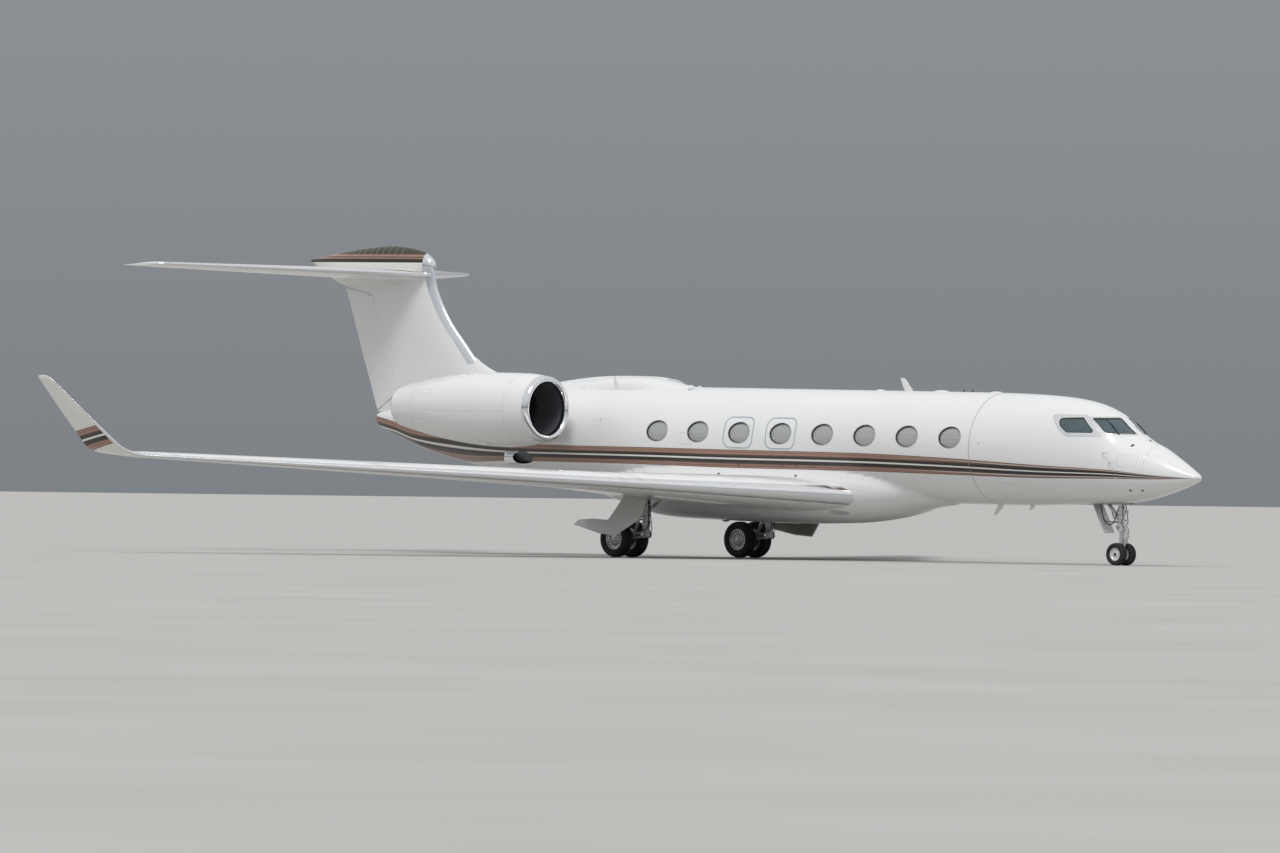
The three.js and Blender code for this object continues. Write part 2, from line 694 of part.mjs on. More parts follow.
// Tail: fin, rudder, cap, tailplane and elevators
function finRing([height, lead, chord, ratio]) {
  const flat = wingRing([0, lead, chord, 0, ratio, 0, 0], 0);
  return flat.map(([x, , thick]) => [x, thick, height]);
}

function buildTail(outsideGrown) {
  const half = surface(TAILPLANE, 0);
  const tailplane = joined(half, mirrored(half));
  const left = hingeCut(tailplane, hingeOn(TAILPLANE, ELEVATOR, 0));
  const fixed = left.fixed.intersect(mirrored(left.fixed));
  placePair(airframe, "elevator", left.moving, white, left.hinge);
  place(airframe, "tailplane", fixed, white);

  const seated = surface(TAILPLANE, 0, SEAT);
  const around = joined(seated, mirrored(seated));
  const cap = hull(CAP, 0, stations(CAP, 1), 20);
  place(airframe, "fin_cap", cap.subtract(around), stripe);

  const ridge = hull(RIDGE, 0, stations(RIDGE, 1), 20);
  const fin = joined(solid(skin(FIN.map(finRing))), ridge)
    .subtract(outsideGrown)
    .subtract(hull(CAP, SEAT, stations(CAP, 1), 20))
    .subtract(around);
  const [low, high] = [RUDDER.low, RUDDER.high].map(([z, station]) => [stationX(station), 0, z]);
  const radii = [low, high].map(([x, , z]) => finHalf(z, NOSE_X - x) - NOSE_STEP);
  const cut = hingeCut(fin, {
    from: low,
    to: high,
    radii,
    lips: lipsAt(radii),
    rooms: [SWING, RUDDER.room],
    slopes: [0, RUDDER.slope],
    reach: RUDDER.reach,
  });
  place(airframe, "rudder", cut.moving, white, cut.hinge);
  place(airframe, "fin", cut.fixed, white);
}

// The fin's half thickness at a height and station.
function finHalf(z, station) {
  const [, lead, chord, ratio] = rowAt(FIN, z);
  return thicknessAt((station - lead) / chord, ratio) * chord;
}

// Engines: lip, cowl, fan, core and pylon
function engineRing(station, top, bottom) {
  return Array.from({ length: AROUND }, (_, j) => {
    const angle = (2 * Math.PI * j) / AROUND;
    const s = Math.sin(angle);
    const low = s < 0 ? s * s : 0;
    const radius = top + (bottom - top) * low;
    return [stationX(station), ENGINE.out + radius * Math.cos(angle), ENGINE.height + radius * s];
  });
}

// A quarter ellipse from the lip's seam to its foremost ring, and back inside.
function lipRings(gap) {
  const seam = COWL[0][0] - gap;
  const throat = DUCT[DUCT.length - 1][1];
  const reach = seam - ENGINE.lip;
  const turns = [90, 50, 0, -50, -90];
  return turns.map((degrees) => {
    const a = THREE.MathUtils.degToRad(degrees);
    const out = degrees > 0 ? COWL[0][1] - LIP_NOSE : LIP_NOSE - throat;
    const radius = LIP_NOSE + out * Math.sin(a);
    const extra = degrees > 0 ? (COWL[0][2] - COWL[0][1]) * Math.sin(a) : 0;
    return engineRing(seam - reach * Math.cos(a), radius, radius + extra);
  });
}

function buildEngines(outsideGrown) {
  placePair(airframe, "intake_lip", solid(skin(lipRings(SEAT), true)), polished);
  const outer = COWL.map(([station, top, bottom]) => engineRing(station, top, bottom));
  const inner = DUCT.map(([station, radius]) => engineRing(station, radius, radius));
  placePair(airframe, "cowl", solid(skin([...outer, ...inner], true)), white);
  buildFan();
  buildCore();

  const grown = solid(
    skin(COWL.map(([station, top, bottom]) => engineRing(station, top + SEAT, bottom + SEAT))),
  );
  const pylon = [
    [700, 19150, 4350, 3440, 0.085, 0, 0],
    [1900, 19500, 3900, 3440, 0.085, 0, 0],
  ];
  const stub = surface(pylon, 0).subtract(outsideGrown).subtract(grown);
  placePair(airframe, "pylon", largest(stub), white);
}

// The fan: a spinner and a ring of twisted blades, turning about the engine's axis
function buildFan() {
  const { radius, hub, blades, depth } = FAN;
  const seat = FAN.seat - SEAT;
  const profile = [[0, -seat], [60, -seat], [60, -depth], [hub, -depth], [hub, 0], [150, 110],
    [80, 210], [0, 260]];
  const spinner = turned(profile, 16);
  const wheel = [spinner];
  for (let n = 0; n < blades; n += 1) {
    const blade = new THREE.BoxGeometry(radius - hub + 40, 110, 14);
    blade.rotateX(THREE.MathUtils.degToRad(38)).translate((radius + hub - 40) / 2, -75, 0);
    wheel.push(solid(blade.rotateY((2 * Math.PI * n) / blades)));
  }
  const fan = geometryOf(joined(...wheel)).rotateZ(-Math.PI / 2);
  fan.translate(stationX(ENGINE.fan), ENGINE.out, ENGINE.height);
  const hinge = [0, 100].map(
    (x) => new THREE.Vector3(stationX(ENGINE.fan) + x, ENGINE.out, ENGINE.height),
  );
  placePair(airframe, "fan", solid(fan), darkMetal, hinge);
}

// The core: one plain block behind the fan, with its struts to the cowl and the exhaust cone
function buildCore() {
  const profile = [[0, -3700], [150, -3350], [250, -2900], [380, -2700], [400, -600], [300, -190],
    [60, -FAN.seat], [0, -FAN.seat]];
  const struts = [0, 1, 2, 3].map((n) => {
    const [inner, outer] = [300, 652.3];
    const strut = new THREE.BoxGeometry(outer - inner, 260, 40);
    strut.translate((outer + inner) / 2, -800, 0);
    return solid(strut.rotateY((Math.PI / 2) * n));
  });
  const core = geometryOf(joined(turned(profile, 16), ...struts)).rotateZ(-Math.PI / 2);
  core.translate(stationX(ENGINE.fan), ENGINE.out, ENGINE.height);
  placePair(airframe, "engine_core", solid(core), darkMetal);
}

// Twin wheels on one axle, turned about Y, about the axle's own middle
function buildTwinWheels(prefix, sizes, x, y) {
  const { width, apart, rim, axle } = sizes;
  const radius = sizes.radius / Math.cos(Math.PI / WHEEL_SIDES); // the flats touch the ground
  const [inner, outer] = [apart - width * 0.33, apart + width * 0.33];
  const dish = outer - width * 0.2;
  const half = [[axle, inner], [rim, inner], [rim, outer], [rim * 0.86, outer],
    [rim * 0.8, dish], [axle * 1.8, dish], [axle, outer + 8], [0, outer + 8]];
  const whole = [...half.map(([r, d]) => [r, -d]).reverse(), ...half];
  const halfStep = Math.PI / WHEEL_SIDES;
  const seat = (body, offset) =>
    solid(geometryOf(body).rotateY(halfStep).translate(x, y + offset, sizes.radius));
  const hinge = [0, 100].map((dy) => new THREE.Vector3(x, y + dy, sizes.radius));
  place(gear, `${prefix}_hubs`, seat(turned(whole, WHEEL_SIDES), 0), alloy, hinge);
  const bead = rim + SEAT;
  const w = width / 2;
  const side = [[bead, 0.7], [radius * 0.8, 1], [radius * 0.95, 0.84], [radius, 0.4]];
  const section = [...side.map(([r, share]) => [r, -w * share]),
    ...side.map(([r, share]) => [r, w * share]).reverse(), [bead, -w * 0.7]];
  [["a", -apart], ["b", apart]].forEach(([mark, offset]) => {
    place(gear, `${prefix}_tyre_${mark}`, seat(turned(section, WHEEL_SIDES), offset), rubber);
  });
}

// A boss that holds an axle along Y, with its bore
function axleBoss(x, y, z, outside, bore, width) {
  const ends = [[x, y - width / 2, z], [x, y + width / 2, z]];
  const through = [[x, y - width, z], [x, y + width, z]];
  return {
    boss: bar(...ends, outside, outside, 24),
    bore: bar(...through, bore, bore, 24),
  };
}

function buildMainGear(wingParked) {
  const { x, y, radius, width, apart, axle } = MAIN;
  const between = 100;
  const { boss, bore } = axleBoss(x, y, radius, 78, axle + 0.9, 4 * between);
  const reach = apart - width * 0.33 - 10; // the brakes stop just short of the wheels
  const brakes = bar([x, y - reach, radius], [x, y + reach, radius], MAIN.brake, MAIN.brake, 20);
  const foot = [POST.x, y, POST.foot];
  const arm = slab(
    [[POST.x + 60, POST.foot + 70], [POST.x + 60, POST.foot - 70], [x + 30, radius - 62],
      [x - 30, radius + 62], [x + 330, radius + 130]],
    y - between / 2,
    y + between / 2,
  );
  const parts = [
    bar([POST.x, y, POST.foot - 40], [POST.x, y, 1700], POST.radius),
    bar([POST.x, y - 110, foot[2]], [POST.x, y + 110, foot[2]], 95),
    arm,
    boss.intersect(block([x - 90, y - between / 2, 0], [x + 90, y + between / 2, 1000])),
    brakes,
    bar([x + 330, y, radius + 110], [POST.x - 170, y, 1120], 36),
    bar([POST.x - 190, y, 980], [POST.x - 150, y, 1330], 56),
    block([POST.x - 170, y - 40, 1150], [POST.x, y + 40, 1230]),
    bar([POST.x, y, 1120], [POST.x + 30, y - 700, 1500], 34),
  ];
  const leg = joined(...parts).subtract(bore).subtract(wingParked);
  placePair(gear, "main_leg", largest(leg), alloy);

  // The door hangs from the wing outboard of the wheels and leans outwards.
  const outline = [[-480, 1500], [270, 1500], [425, 1000], [395, 910], [75, 670], [-115, 530],
    [-655, 570], [-1675, 780], [-1585, 900], [-1075, 930], [-605, 900]];
  const lean = 0.72;
  const flat = geometryOf(slab(outline, -13, 13));
  const shear = new THREE.Matrix4().set(1, 0, 0, 0, 0, 1, -lean, 2950 + lean * 1360, 0, 0, 1, 0,
    0, 0, 0, 1);
  const plate = solid(flat.applyMatrix4(shear));
  const link = bar([POST.x, y + POST.radius + SEAT, 1000], [POST.x + 120, 3205, 1000], 24);
  const door = joined(plate, link).subtract(wingParked);
  placePair(gear, "main_gear_door", largest(door), white);
  buildTwinWheels("left_main", MAIN, x, y);
  buildTwinWheels("right_main", MAIN, x, -y);
}

function buildNoseGear() {
  const { x, radius, width, apart, axle } = NOSE;
  const roof = 1755;
  const upper = joined(
    bar([x, 0, 985], [x, 0, roof], 78, 78, 24),
    bar([x - 40, 0, 1080], [x - 640, 0, 1690], 30),
    bar([x, SEAT - NOSE.well, 1600], [x, NOSE.well - SEAT, 1600], 45),
    block([x - 760, -150, 1640], [x - 560, 150, 1720]),
  );
  place(gear, "nose_strut", upper, white);

  const between = 2 * apart - width - 24;
  const { boss, bore } = axleBoss(x, 0, radius, 62, axle + 0.9, between);
  const link = slab(
    [[x + 60, 905], [x + 60, 955], [x + 225, 690], [x + 60, 395], [x + 40, 455], [x + 165, 690]],
    -45,
    45,
  );
  const steered = joined(
    bar([x, 0, 800], [x, 0, 985 - SEAT], 98, 98, 24),
    bar([x, 0, radius], [x, 0, 850], 50, 50, 24),
    bar([x - 20, -150, 900], [x - 20, 150, 900], 42),
    boss,
    link,
  ).subtract(bore);
  const axis = [new THREE.Vector3(x, 0, 0), new THREE.Vector3(x, 0, 1000)];
  place(gear, "nose_steering", steered, white, axis);

  const leaf = slab([[x - 780, 1500], [x - 750, 1500], [x - 350, 760], [x - 380, 760]], -190, 190);
  const stay = bar([x - 60, 0, 1008], [x - 515, 0, 1035], 16);
  const door = joined(leaf, stay).subtract(bar([x, 0, 900], [x, 0, 1760], 78 + SEAT, 78 + SEAT, 24));
  place(gear, "nose_gear_door", largest(door), white);
  buildTwinWheels("nose", NOSE, x, 0);
}

const outsideGrown = hull(HULL, SEAT);
buildHull();
buildFlightDeck();
buildWings(outsideGrown);
buildFairing(outsideGrown);
const crown = hull(CROWN, 0, stations(CROWN, 1), 20).subtract(outsideGrown);
place(airframe, "crown_fairing", crown, white);
buildTail(outsideGrown);
buildEngines(outsideGrown);
const parkedWing = geometryOf(surface(WING, CAMBER, SEAT));
buildMainGear(solid(parkedWing.applyMatrix4(new THREE.Matrix4().makeRotationY(PITCH))));
buildNoseGear();

export default aircraft;
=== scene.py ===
import math

import bpy
import numpy as np
from mathutils import Matrix, Vector
from mathutils.geometry import delaunay_2d_cdt


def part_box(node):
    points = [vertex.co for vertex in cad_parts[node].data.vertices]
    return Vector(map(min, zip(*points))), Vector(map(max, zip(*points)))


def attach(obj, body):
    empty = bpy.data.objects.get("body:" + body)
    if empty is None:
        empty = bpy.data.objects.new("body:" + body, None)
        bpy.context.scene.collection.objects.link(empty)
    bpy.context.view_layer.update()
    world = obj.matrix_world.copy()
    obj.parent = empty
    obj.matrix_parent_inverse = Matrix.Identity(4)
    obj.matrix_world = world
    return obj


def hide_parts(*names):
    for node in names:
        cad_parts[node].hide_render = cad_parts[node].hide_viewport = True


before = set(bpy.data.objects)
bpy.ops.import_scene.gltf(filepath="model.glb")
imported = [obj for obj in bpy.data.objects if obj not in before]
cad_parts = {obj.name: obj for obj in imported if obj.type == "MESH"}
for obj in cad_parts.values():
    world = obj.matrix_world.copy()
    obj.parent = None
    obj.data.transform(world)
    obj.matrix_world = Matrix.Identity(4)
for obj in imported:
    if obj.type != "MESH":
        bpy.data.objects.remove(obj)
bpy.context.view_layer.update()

# A business jet parked on its gear. Metres; +X to the nose, +Y to port, +Z up. The airframe sits a
# little nose down, so its shapes are worked out level, by stations counted aft from the nose tip,
# and then turned into the parked frame.

# Driving dimensions
PITCH = math.radians(0.7)
NOSE_X = 15.180
AROUND = 144  # points round a hull section
SKIN = 0.045
FLOOR = 1.985
SWING = 0.009  # gap round a piece that moves
NOSE_STEP = 0.003
CREASE = math.radians(35)
CAMERA = {
    "spot": (151.02, -165.57, 1.617),
    "yaw": 42.866,
    "pitch": 0.401,
    "roll": 0.710,
    "focal_px": 9176.4,
    "width_px": 1280,
}

# Hull: station, top, bottom, half width, height of the widest line, squareness
HULL = [
    [0.015, 2.300, 2.200, 0.055, 2.249, 2.0],
    [0.100, 2.350, 2.160, 0.135, 2.252, 2.0],
    [0.300, 2.468, 2.078, 0.255, 2.262, 2.0],
    [0.700, 2.690, 1.942, 0.450, 2.290, 2.0],
    [1.200, 2.955, 1.800, 0.640, 2.340, 2.0],
    [1.620, 3.125, 1.702, 0.765, 2.400, 2.0],
    [2.000, 3.335, 1.645, 0.862, 2.460, 2.0],
    [2.360, 3.620, 1.610, 0.950, 2.520, 2.0],
    [2.800, 3.840, 1.585, 1.042, 2.590, 2.05],
    [3.300, 3.985, 1.572, 1.126, 2.650, 2.1],
    [4.000, 4.085, 1.552, 1.212, 2.715, 2.08],
    [5.000, 4.140, 1.512, 1.290, 2.780, 2.03],
    [6.300, 4.163, 1.500, 1.330, 2.810, 2.0],
    [11.000, 4.163, 1.500, 1.332, 2.820, 2.0],
    [16.500, 4.160, 1.500, 1.332, 2.820, 2.0],
    [18.500, 4.150, 1.545, 1.290, 2.840, 2.0],
    [20.500, 4.090, 1.700, 1.150, 2.900, 2.0],
    [22.000, 3.985, 1.905, 0.965, 2.960, 2.0],
    [23.600, 3.830, 2.165, 0.722, 3.030, 2.0],
    [25.000, 3.660, 2.435, 0.505, 3.090, 2.0],
    [26.100, 3.500, 2.780, 0.300, 3.160, 2.0],
    [26.750, 3.395, 3.000, 0.165, 3.210, 2.0],
    [26.930, 3.330, 3.090, 0.090, 3.215, 2.0],
]
TIP = 0.016
TAIL_END = 26.925
RADOME_END = 1.25
NOSE_END = 6.05  # where the nose section meets the barrel

# Wing-to-body fairing, with the same columns
FAIRING = [
    [7.500, 2.000, 1.480, 0.300, 1.760, 2.0],
    [8.400, 2.250, 1.335, 0.900, 1.800, 2.1],
    [9.150, 2.380, 1.150, 1.190, 1.790, 2.2],
    [10.250, 2.440, 0.993, 1.370, 1.760, 2.4],
    [11.500, 2.460, 0.927, 1.450, 1.740, 2.5],
    [12.850, 2.460, 0.908, 1.470, 1.730, 2.5],
    [14.800, 2.440, 0.932, 1.460, 1.740, 2.5],
    [16.400, 2.400, 0.972, 1.400, 1.760, 2.4],
    [17.300, 2.330, 1.090, 1.230, 1.780, 2.2],
    [18.300, 2.250, 1.330, 0.880, 1.820, 2.1],
    [19.300, 2.150, 1.560, 0.380, 1.880, 2.0],
]
# Fairing over the crown, and the ridge that runs from it into the fin
CROWN = [
    [16.050, 4.120, 3.900, 0.150, 4.050, 2.2],
    [16.300, 4.185, 3.900, 0.330, 4.050, 2.2],
    [16.820, 4.292, 3.900, 0.440, 4.050, 2.2],
    [17.560, 4.374, 3.900, 0.490, 4.050, 2.2],
    [18.400, 4.372, 3.900, 0.490, 4.050, 2.2],
    [19.250, 4.308, 3.900, 0.430, 4.050, 2.2],
    [20.100, 4.225, 3.850, 0.330, 4.000, 2.2],
]
RIDGE = [
    [20.110, 4.205, 3.800, 0.160, 4.000, 2.0],
    [20.800, 4.215, 3.800, 0.160, 4.000, 2.0],
    [21.300, 4.258, 3.800, 0.150, 4.000, 2.0],
    [22.100, 4.318, 3.750, 0.145, 4.000, 2.0],
    [22.500, 4.375, 3.730, 0.142, 4.000, 2.0],
    [22.900, 4.480, 3.700, 0.138, 4.000, 2.0],
    [23.250, 4.640, 3.680, 0.132, 4.000, 2.0],
    [23.600, 4.830, 3.650, 0.128, 4.000, 2.0],
    [24.400, 4.900, 3.600, 0.120, 4.000, 2.0],
]

# Lifting surfaces: span, leading edge's station, chord, its height, thickness share, twist, tilt
WING = [
    [1.000, 9.436, 7.500, 1.611, 0.115, 1.5, 0],
    [1.400, 9.785, 7.210, 1.630, 0.114, 1.5, 0],
    [5.300, 13.190, 4.310, 1.818, 0.105, 0.5, 0],
    [13.760, 20.576, 1.500, 2.226, 0.100, -1.6, 0],
]
WINGLET = [
    [13.7604, 20.576, 1.500, 2.226, 0.100, -1.6, 0],
    [14.120, 20.900, 1.370, 2.256, 0.098, -1.0, 14],
    [14.380, 21.180, 1.240, 2.390, 0.095, 0, 42],
    [14.560, 21.500, 1.080, 2.680, 0.090, 0, 62],
    [15.175, 22.960, 0.410, 4.050, 0.080, 0, 66],
    [15.180, 23.080, 0.260, 4.092, 0.050, 0, 66],
]
TAILPLANE = [
    [0.000, 25.036, 3.250, 6.866, 0.092, 1.0, 0],
    [0.300, 25.259, 3.160, 6.873, 0.090, 1.0, 0],
    [5.540, 29.130, 1.310, 6.989, 0.085, 2.2, 0],
    [5.630, 29.260, 1.205, 6.990, 0.040, 2.4, 0],
]
CAMBER = 0.012
# Fin: height, leading edge's station, chord, thickness share
FIN = [
    [3.400, 22.500, 4.420, 0.085],
    [4.300, 23.130, 4.145, 0.085],
    [4.976, 23.725, 3.820, 0.088],
    [5.718, 24.430, 3.395, 0.092],
    [6.468, 24.900, 3.225, 0.096],
    [7.000, 25.040, 3.300, 0.096],
]
# Cap on the fin, with the hull's columns
CAP = [
    [25.020, 7.120, 6.980, 0.060, 7.050, 2.0],
    [25.120, 7.272, 6.900, 0.140, 7.080, 2.0],
    [25.450, 7.460, 6.800, 0.195, 7.080, 2.0],
    [26.340, 7.584, 6.690, 0.225, 7.060, 2.0],
    [27.300, 7.540, 6.600, 0.225, 7.040, 2.0],
    [28.180, 7.430, 6.585, 0.180, 7.040, 2.0],
    [28.900, 7.305, 6.890, 0.110, 7.120, 2.0],
    [29.419, 7.225, 7.190, 0.020, 7.208, 2.0],
]

# Engines
ENGINE = {"out": 2.300, "height": 3.550, "lip": 18.800, "fan": 19.760, "exit": 23.740,
          "blades": 22, "vanes": 28, "struts": 4, "lobes": 14}
# Cowl: station, radius at the top, radius at the bottom
COWL = [
    [18.960, 0.812, 0.822],
    [19.350, 0.858, 0.905],
    [20.000, 0.872, 0.958],
    [20.700, 0.868, 0.950],
    [21.500, 0.832, 0.890],
    [22.400, 0.735, 0.768],
    [23.100, 0.628, 0.640],
    [23.740, 0.495, 0.495],
]
DUCT = [[18.960, 0.632], [19.600, 0.655], [21.000, 0.655], [22.400, 0.630], [23.740, 0.465]]
LIP_NOSE = 0.720

# Control surfaces: spans of the ends, chord shares at the hinge's ends, whether the hinge lies
# low, the room at the inner end, and how the inner and outer ends lean going aft
FLAPS = {
    "inboard_flap": {"from": 1.600, "to": 5.080, "shares": (0.86, 0.78), "low": True,
                     "room": 0.040, "square": (False, True)},
    "outboard_flap": {"from": 5.420, "to": 9.700, "shares": (0.75, 0.75), "low": True,
                      "room": SWING, "square": (True, True)},
    "aileron": {"from": 9.780, "to": 13.450, "shares": (0.75, 0.75), "low": False,
                "room": SWING, "square": (True, True)},
}
ELEVATOR = {"from": 0.330, "to": 5.380, "shares": (0.70, 0.70), "low": False,
            "room": 0.046, "square": (False, True)}
SPOILER = {"from": 5.450, "to": 9.500, "front": 0.6, "back": 0.7, "depth": 0.030, "thick": 0.020,
           "room": 0.0045, "gap": 0.006}
FLAPS["outboard_flap"]["rows"] = np.concatenate([
    [5.420, 5.449], np.linspace(5.450, 9.500, 20), [9.501, 9.600, 9.700]])
CAP_NOSE = 25.30
CAP_BAND = (7.160, 7.368)
CAP_STRIPS = (26.00, 27.75)
LOW_HINGE = 0.028
RUDDER = {"low": (3.980, 26.000), "high": (6.330, 27.130), "skews": (-0.48, 0.198)}


# Placing

def to_parked(points, side=1, pitch=PITCH):
    """Level airframe points turned nose down about Y into the parked frame. A side of -1 mirrors
    them to starboard."""
    c, s = math.cos(pitch), math.sin(pitch)
    x, y, z = np.moveaxis(points, -1, 0)
    return np.stack([x * c + z * s, side * y, -x * s + z * c], axis=-1)


def to_level(points):
    """Parked points turned back into the level airframe."""
    return to_parked(points, 1, -PITCH)


def smooth_at(table, keys):
    """Every column of a table at the keys: a cubic Hermite curve through the rows, whose slope at
    a row is the slope between the rows on either side of it."""
    table, keys = np.asarray(table, float), np.asarray(keys, float)
    first, last = table[:, 0], len(table) - 1
    i = np.clip(np.searchsorted(first, keys, side="right") - 1, 0, last - 1)
    rows = np.arange(last + 1)
    low, high = np.maximum(rows - 1, 0), np.minimum(rows + 1, last)
    slopes = (table[high] - table[low]) / (first[high] - first[low])[:, None]
    span = (first[i + 1] - first[i])[..., None]
    t = np.clip((keys - first[i])[..., None] / span, 0, 1)
    return (table[i] * (2 * t**3 - 3 * t**2 + 1) + slopes[i] * span * (t**3 - 2 * t**2 + t)
            + table[i + 1] * (3 * t**2 - 2 * t**3) + slopes[i + 1] * span * (t**3 - t**2))


def straight_at(table, keys):
    """Every column of a table at the keys, straight between the rows."""
    table = np.asarray(table, float)
    return np.stack([np.interp(keys, table[:, 0], column) for column in table.T], axis=-1)


# Meshes

def loft_faces(rings, around, looped=False):
    """Faces of a skin over rings that are closed round: a quad for each neighbouring pair of
    points on neighbouring rings, and one flat face on each end, unless the rings are looped."""
    i, j = np.meshgrid(np.arange(rings if looped else rings - 1), np.arange(around), indexing="ij")
    k, n = (j + 1) % around, (i + 1) % rings
    quads = np.stack([i * around + j, i * around + k, n * around + k, n * around + j], axis=-1)
    ends = [] if looped else [np.arange(around)[::-1].tolist(),
                              (np.arange(around) + (rings - 1) * around).tolist()]
    return quads.reshape(-1, 4).tolist() + ends


def circle(count):
    """Angles all round, as one row."""
    return np.linspace(0, 2 * np.pi, count, endpoint=False)[None]


def unit(vectors):
    """Each vector at length 1."""
    return vectors / np.linalg.norm(vectors, axis=-1, keepdims=True)


def outward(points, faces):
    """A closed mesh's faces turned outwards, by the sign of its volume: the pyramids that the
    faces make with the first point."""
    triangles = np.array([(f[0], f[n], f[n + 1]) for f in faces for n in range(1, len(f) - 1)])
    a, b, c = (points[triangles[:, n]] - points[0] for n in range(3))
    volume = float(np.einsum("ij,ij->i", a, np.cross(b, c)).sum() / 6)
    return [list(face)[::-1] for face in faces] if volume < 0 else faces


def placed(name, data):
    """A new object in the scene."""
    made = bpy.data.objects.new(name, data)
    bpy.context.scene.collection.objects.link(made)
    return made


def piece(name, points, faces, finish, body, replaced="", indices=None):
    """A mesh piece in the parked frame that rides on a body and may stand in for CAD nodes. Edges
    bent by more than the crease angle stay crisp."""
    mesh = bpy.data.meshes.new(name)
    mesh.from_pydata(np.reshape(points, (-1, 3)).tolist(), [], faces)
    for key in finish.split():
        mesh.materials.append(FINISH[key])
    mesh.polygons.foreach_set("use_smooth", np.ones(len(mesh.polygons), bool))
    if indices is not None:
        mesh.polygons.foreach_set("material_index", np.asarray(indices, np.int32))
    mesh.set_sharp_from_angle(angle=CREASE)
    mesh.update()
    made = placed(name, mesh)
    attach(made, body)
    if replaced:
        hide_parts(*replaced.split())
    return made


def loft(name, rings, finish="white", replaced="", body="airframe",
         looped=False, indices=None):
    """A closed piece over rings of points, an array of rings by points by three."""
    faces = outward(rings.reshape(-1, 3), loft_faces(len(rings), rings.shape[1], looped))
    return piece(name, rings, faces, finish, body, replaced, indices)


def part(rings, finish, looped=False):
    """A skin over rings of points as a part: its points, its faces and its finish."""
    return rings, loft_faces(len(rings), rings.shape[1], looped), finish


def pair(maker):
    """Calls a maker for the port side, 1, and the starboard side, -1, with their names."""
    maker("left", 1)
    maker("right", -1)


def give_attribute(made, name, values):
    """Stores one number per vertex, which a finish can read."""
    layer = made.data.attributes.new(name, "FLOAT", "POINT")
    layer.data.foreach_set("value", np.asarray(values, np.float32).ravel())


def tube(path, radii, finish, sides=16):
    """A round bar along a path, as a part: each point of the path carries a circle, square to the
    path's direction there, of its own radius."""
    path = np.asarray(path, float)
    ahead = unit(np.gradient(path, axis=0))
    across = unit(np.cross(ahead, np.eye(3)[np.abs(ahead).max(0).argmin()]))
    up = np.cross(across, ahead)
    angle = circle(sides)[..., None]
    wide = np.broadcast_to(np.asarray(radii, float), (len(path),))[:, None, None]
    return part(path[:, None] + wide * (np.cos(angle) * across[:, None]
                                        + np.sin(angle) * up[:, None]), finish)


def turned(profile, centre, finish, axis="y", sides=64, looped=False):
    """A profile of [radius, distance] points turned about a line through a centre, as a part."""
    profile = np.asarray(profile, float)
    angle = circle(sides)
    radius, along = profile[:, :1], np.broadcast_to(profile[:, 1:2], (len(profile), sides))
    one, two = radius * np.cos(angle), radius * np.sin(angle)
    order = {"y": (one, along, two), "x": (along, one, two), "z": (one, two, along)}[axis]
    return part(np.stack(order, axis=-1) + np.asarray(centre, float), finish, looped)


def box_part(low, high):
    """A plain block from its lowest to its highest corner, as a part."""
    (a, b, c), (d, e, f) = low, high
    points = [(a, b, c), (d, b, c), (d, e, c), (a, e, c), (a, b, f), (d, b, f), (d, e, f), (a, e, f)]
    faces = [[0, 3, 2, 1], [4, 5, 6, 7], [0, 1, 5, 4], [1, 2, 6, 5], [2, 3, 7, 6], [3, 0, 4, 7]]
    return np.array(points, float), faces


def rod(a, b, radius, finish="alloy", sides=16):
    """A round bar from a to b with softened ends, as a part."""
    length = math.dist(a, b)
    soft = min(0.15 * radius, 0.2 * length)
    near = soft / length
    return column(a, b, [(0, radius - soft), (near, 1 - near, radius), (1, radius - soft)], finish,
                  sides)


def pin(x, z, half, radius, finish="alloy", y=0):
    """A crosswise rod, centred on y."""
    return rod((x, y - half, z), (x, y + half, z), radius, finish)


def column(a, b, steps, finish="alloy", sides=24):
    """A straight round bar from a to b, as a part. A step gives one or more shares of the length,
    and then the radius at all of them."""
    a, b = np.array(a, float), np.array(b, float)
    share, wide = np.array([(at, step[-1]) for step in steps for at in step[:-1]], float).T
    return tube(a + (b - a) * share[:, None], wide, finish, sides)


def hose(points, radius):
    """A hose on a smooth curve through points, as a part."""
    table = [[n, *point] for n, point in enumerate(points)]
    path = smooth_at(table, np.linspace(0, len(points) - 1, 7 * len(points)))[:, 1:]
    return tube(path, radius, "hose", 8)


def plate(outline, low, high, finish="alloy", edge=0.004, place=lambda rings: rings):
    """A flat outline in X and Z given thickness along Y, with its edges softened, as a part."""
    inner = grown(outline, -edge)
    lines = ((inner, low), (outline, low + edge), (outline, high - edge), (inner, high))
    return part(place(np.array([np.insert(line, 1, y, axis=1) for line, y in lines])), finish)


def assembly(name, parts, side=1, replaced="", body="airframe"):
    """One piece of closed parts: (points, faces, finish), with one finish or one for each face."""
    points, faces, keys, start = [], [], [], 0
    for own, sides, finish in parts:
        own = np.asarray(own, float).reshape(-1, 3) * [1, side, 1]
        points.append(own)
        faces += [[n + start for n in face] for face in outward(own, sides)]
        keys += [finish] * len(sides) if isinstance(finish, str) else finish
        start += len(own)
    finishes = list(dict.fromkeys(keys))
    return piece(name, np.concatenate(points), faces, " ".join(finishes), body, replaced,
                 [finishes.index(key) for key in keys])


# Finishes

def new_finish(name, **values):
    """A node material with its shader's plain values, its node tree and its shader."""
    made = bpy.data.materials.new(name)
    made.use_nodes = True
    shader = made.node_tree.nodes["Principled BSDF"]
    for socket, value in values.items():
        shader.inputs[socket.replace("_", " ")].default_value = value
    return made, made.node_tree, shader


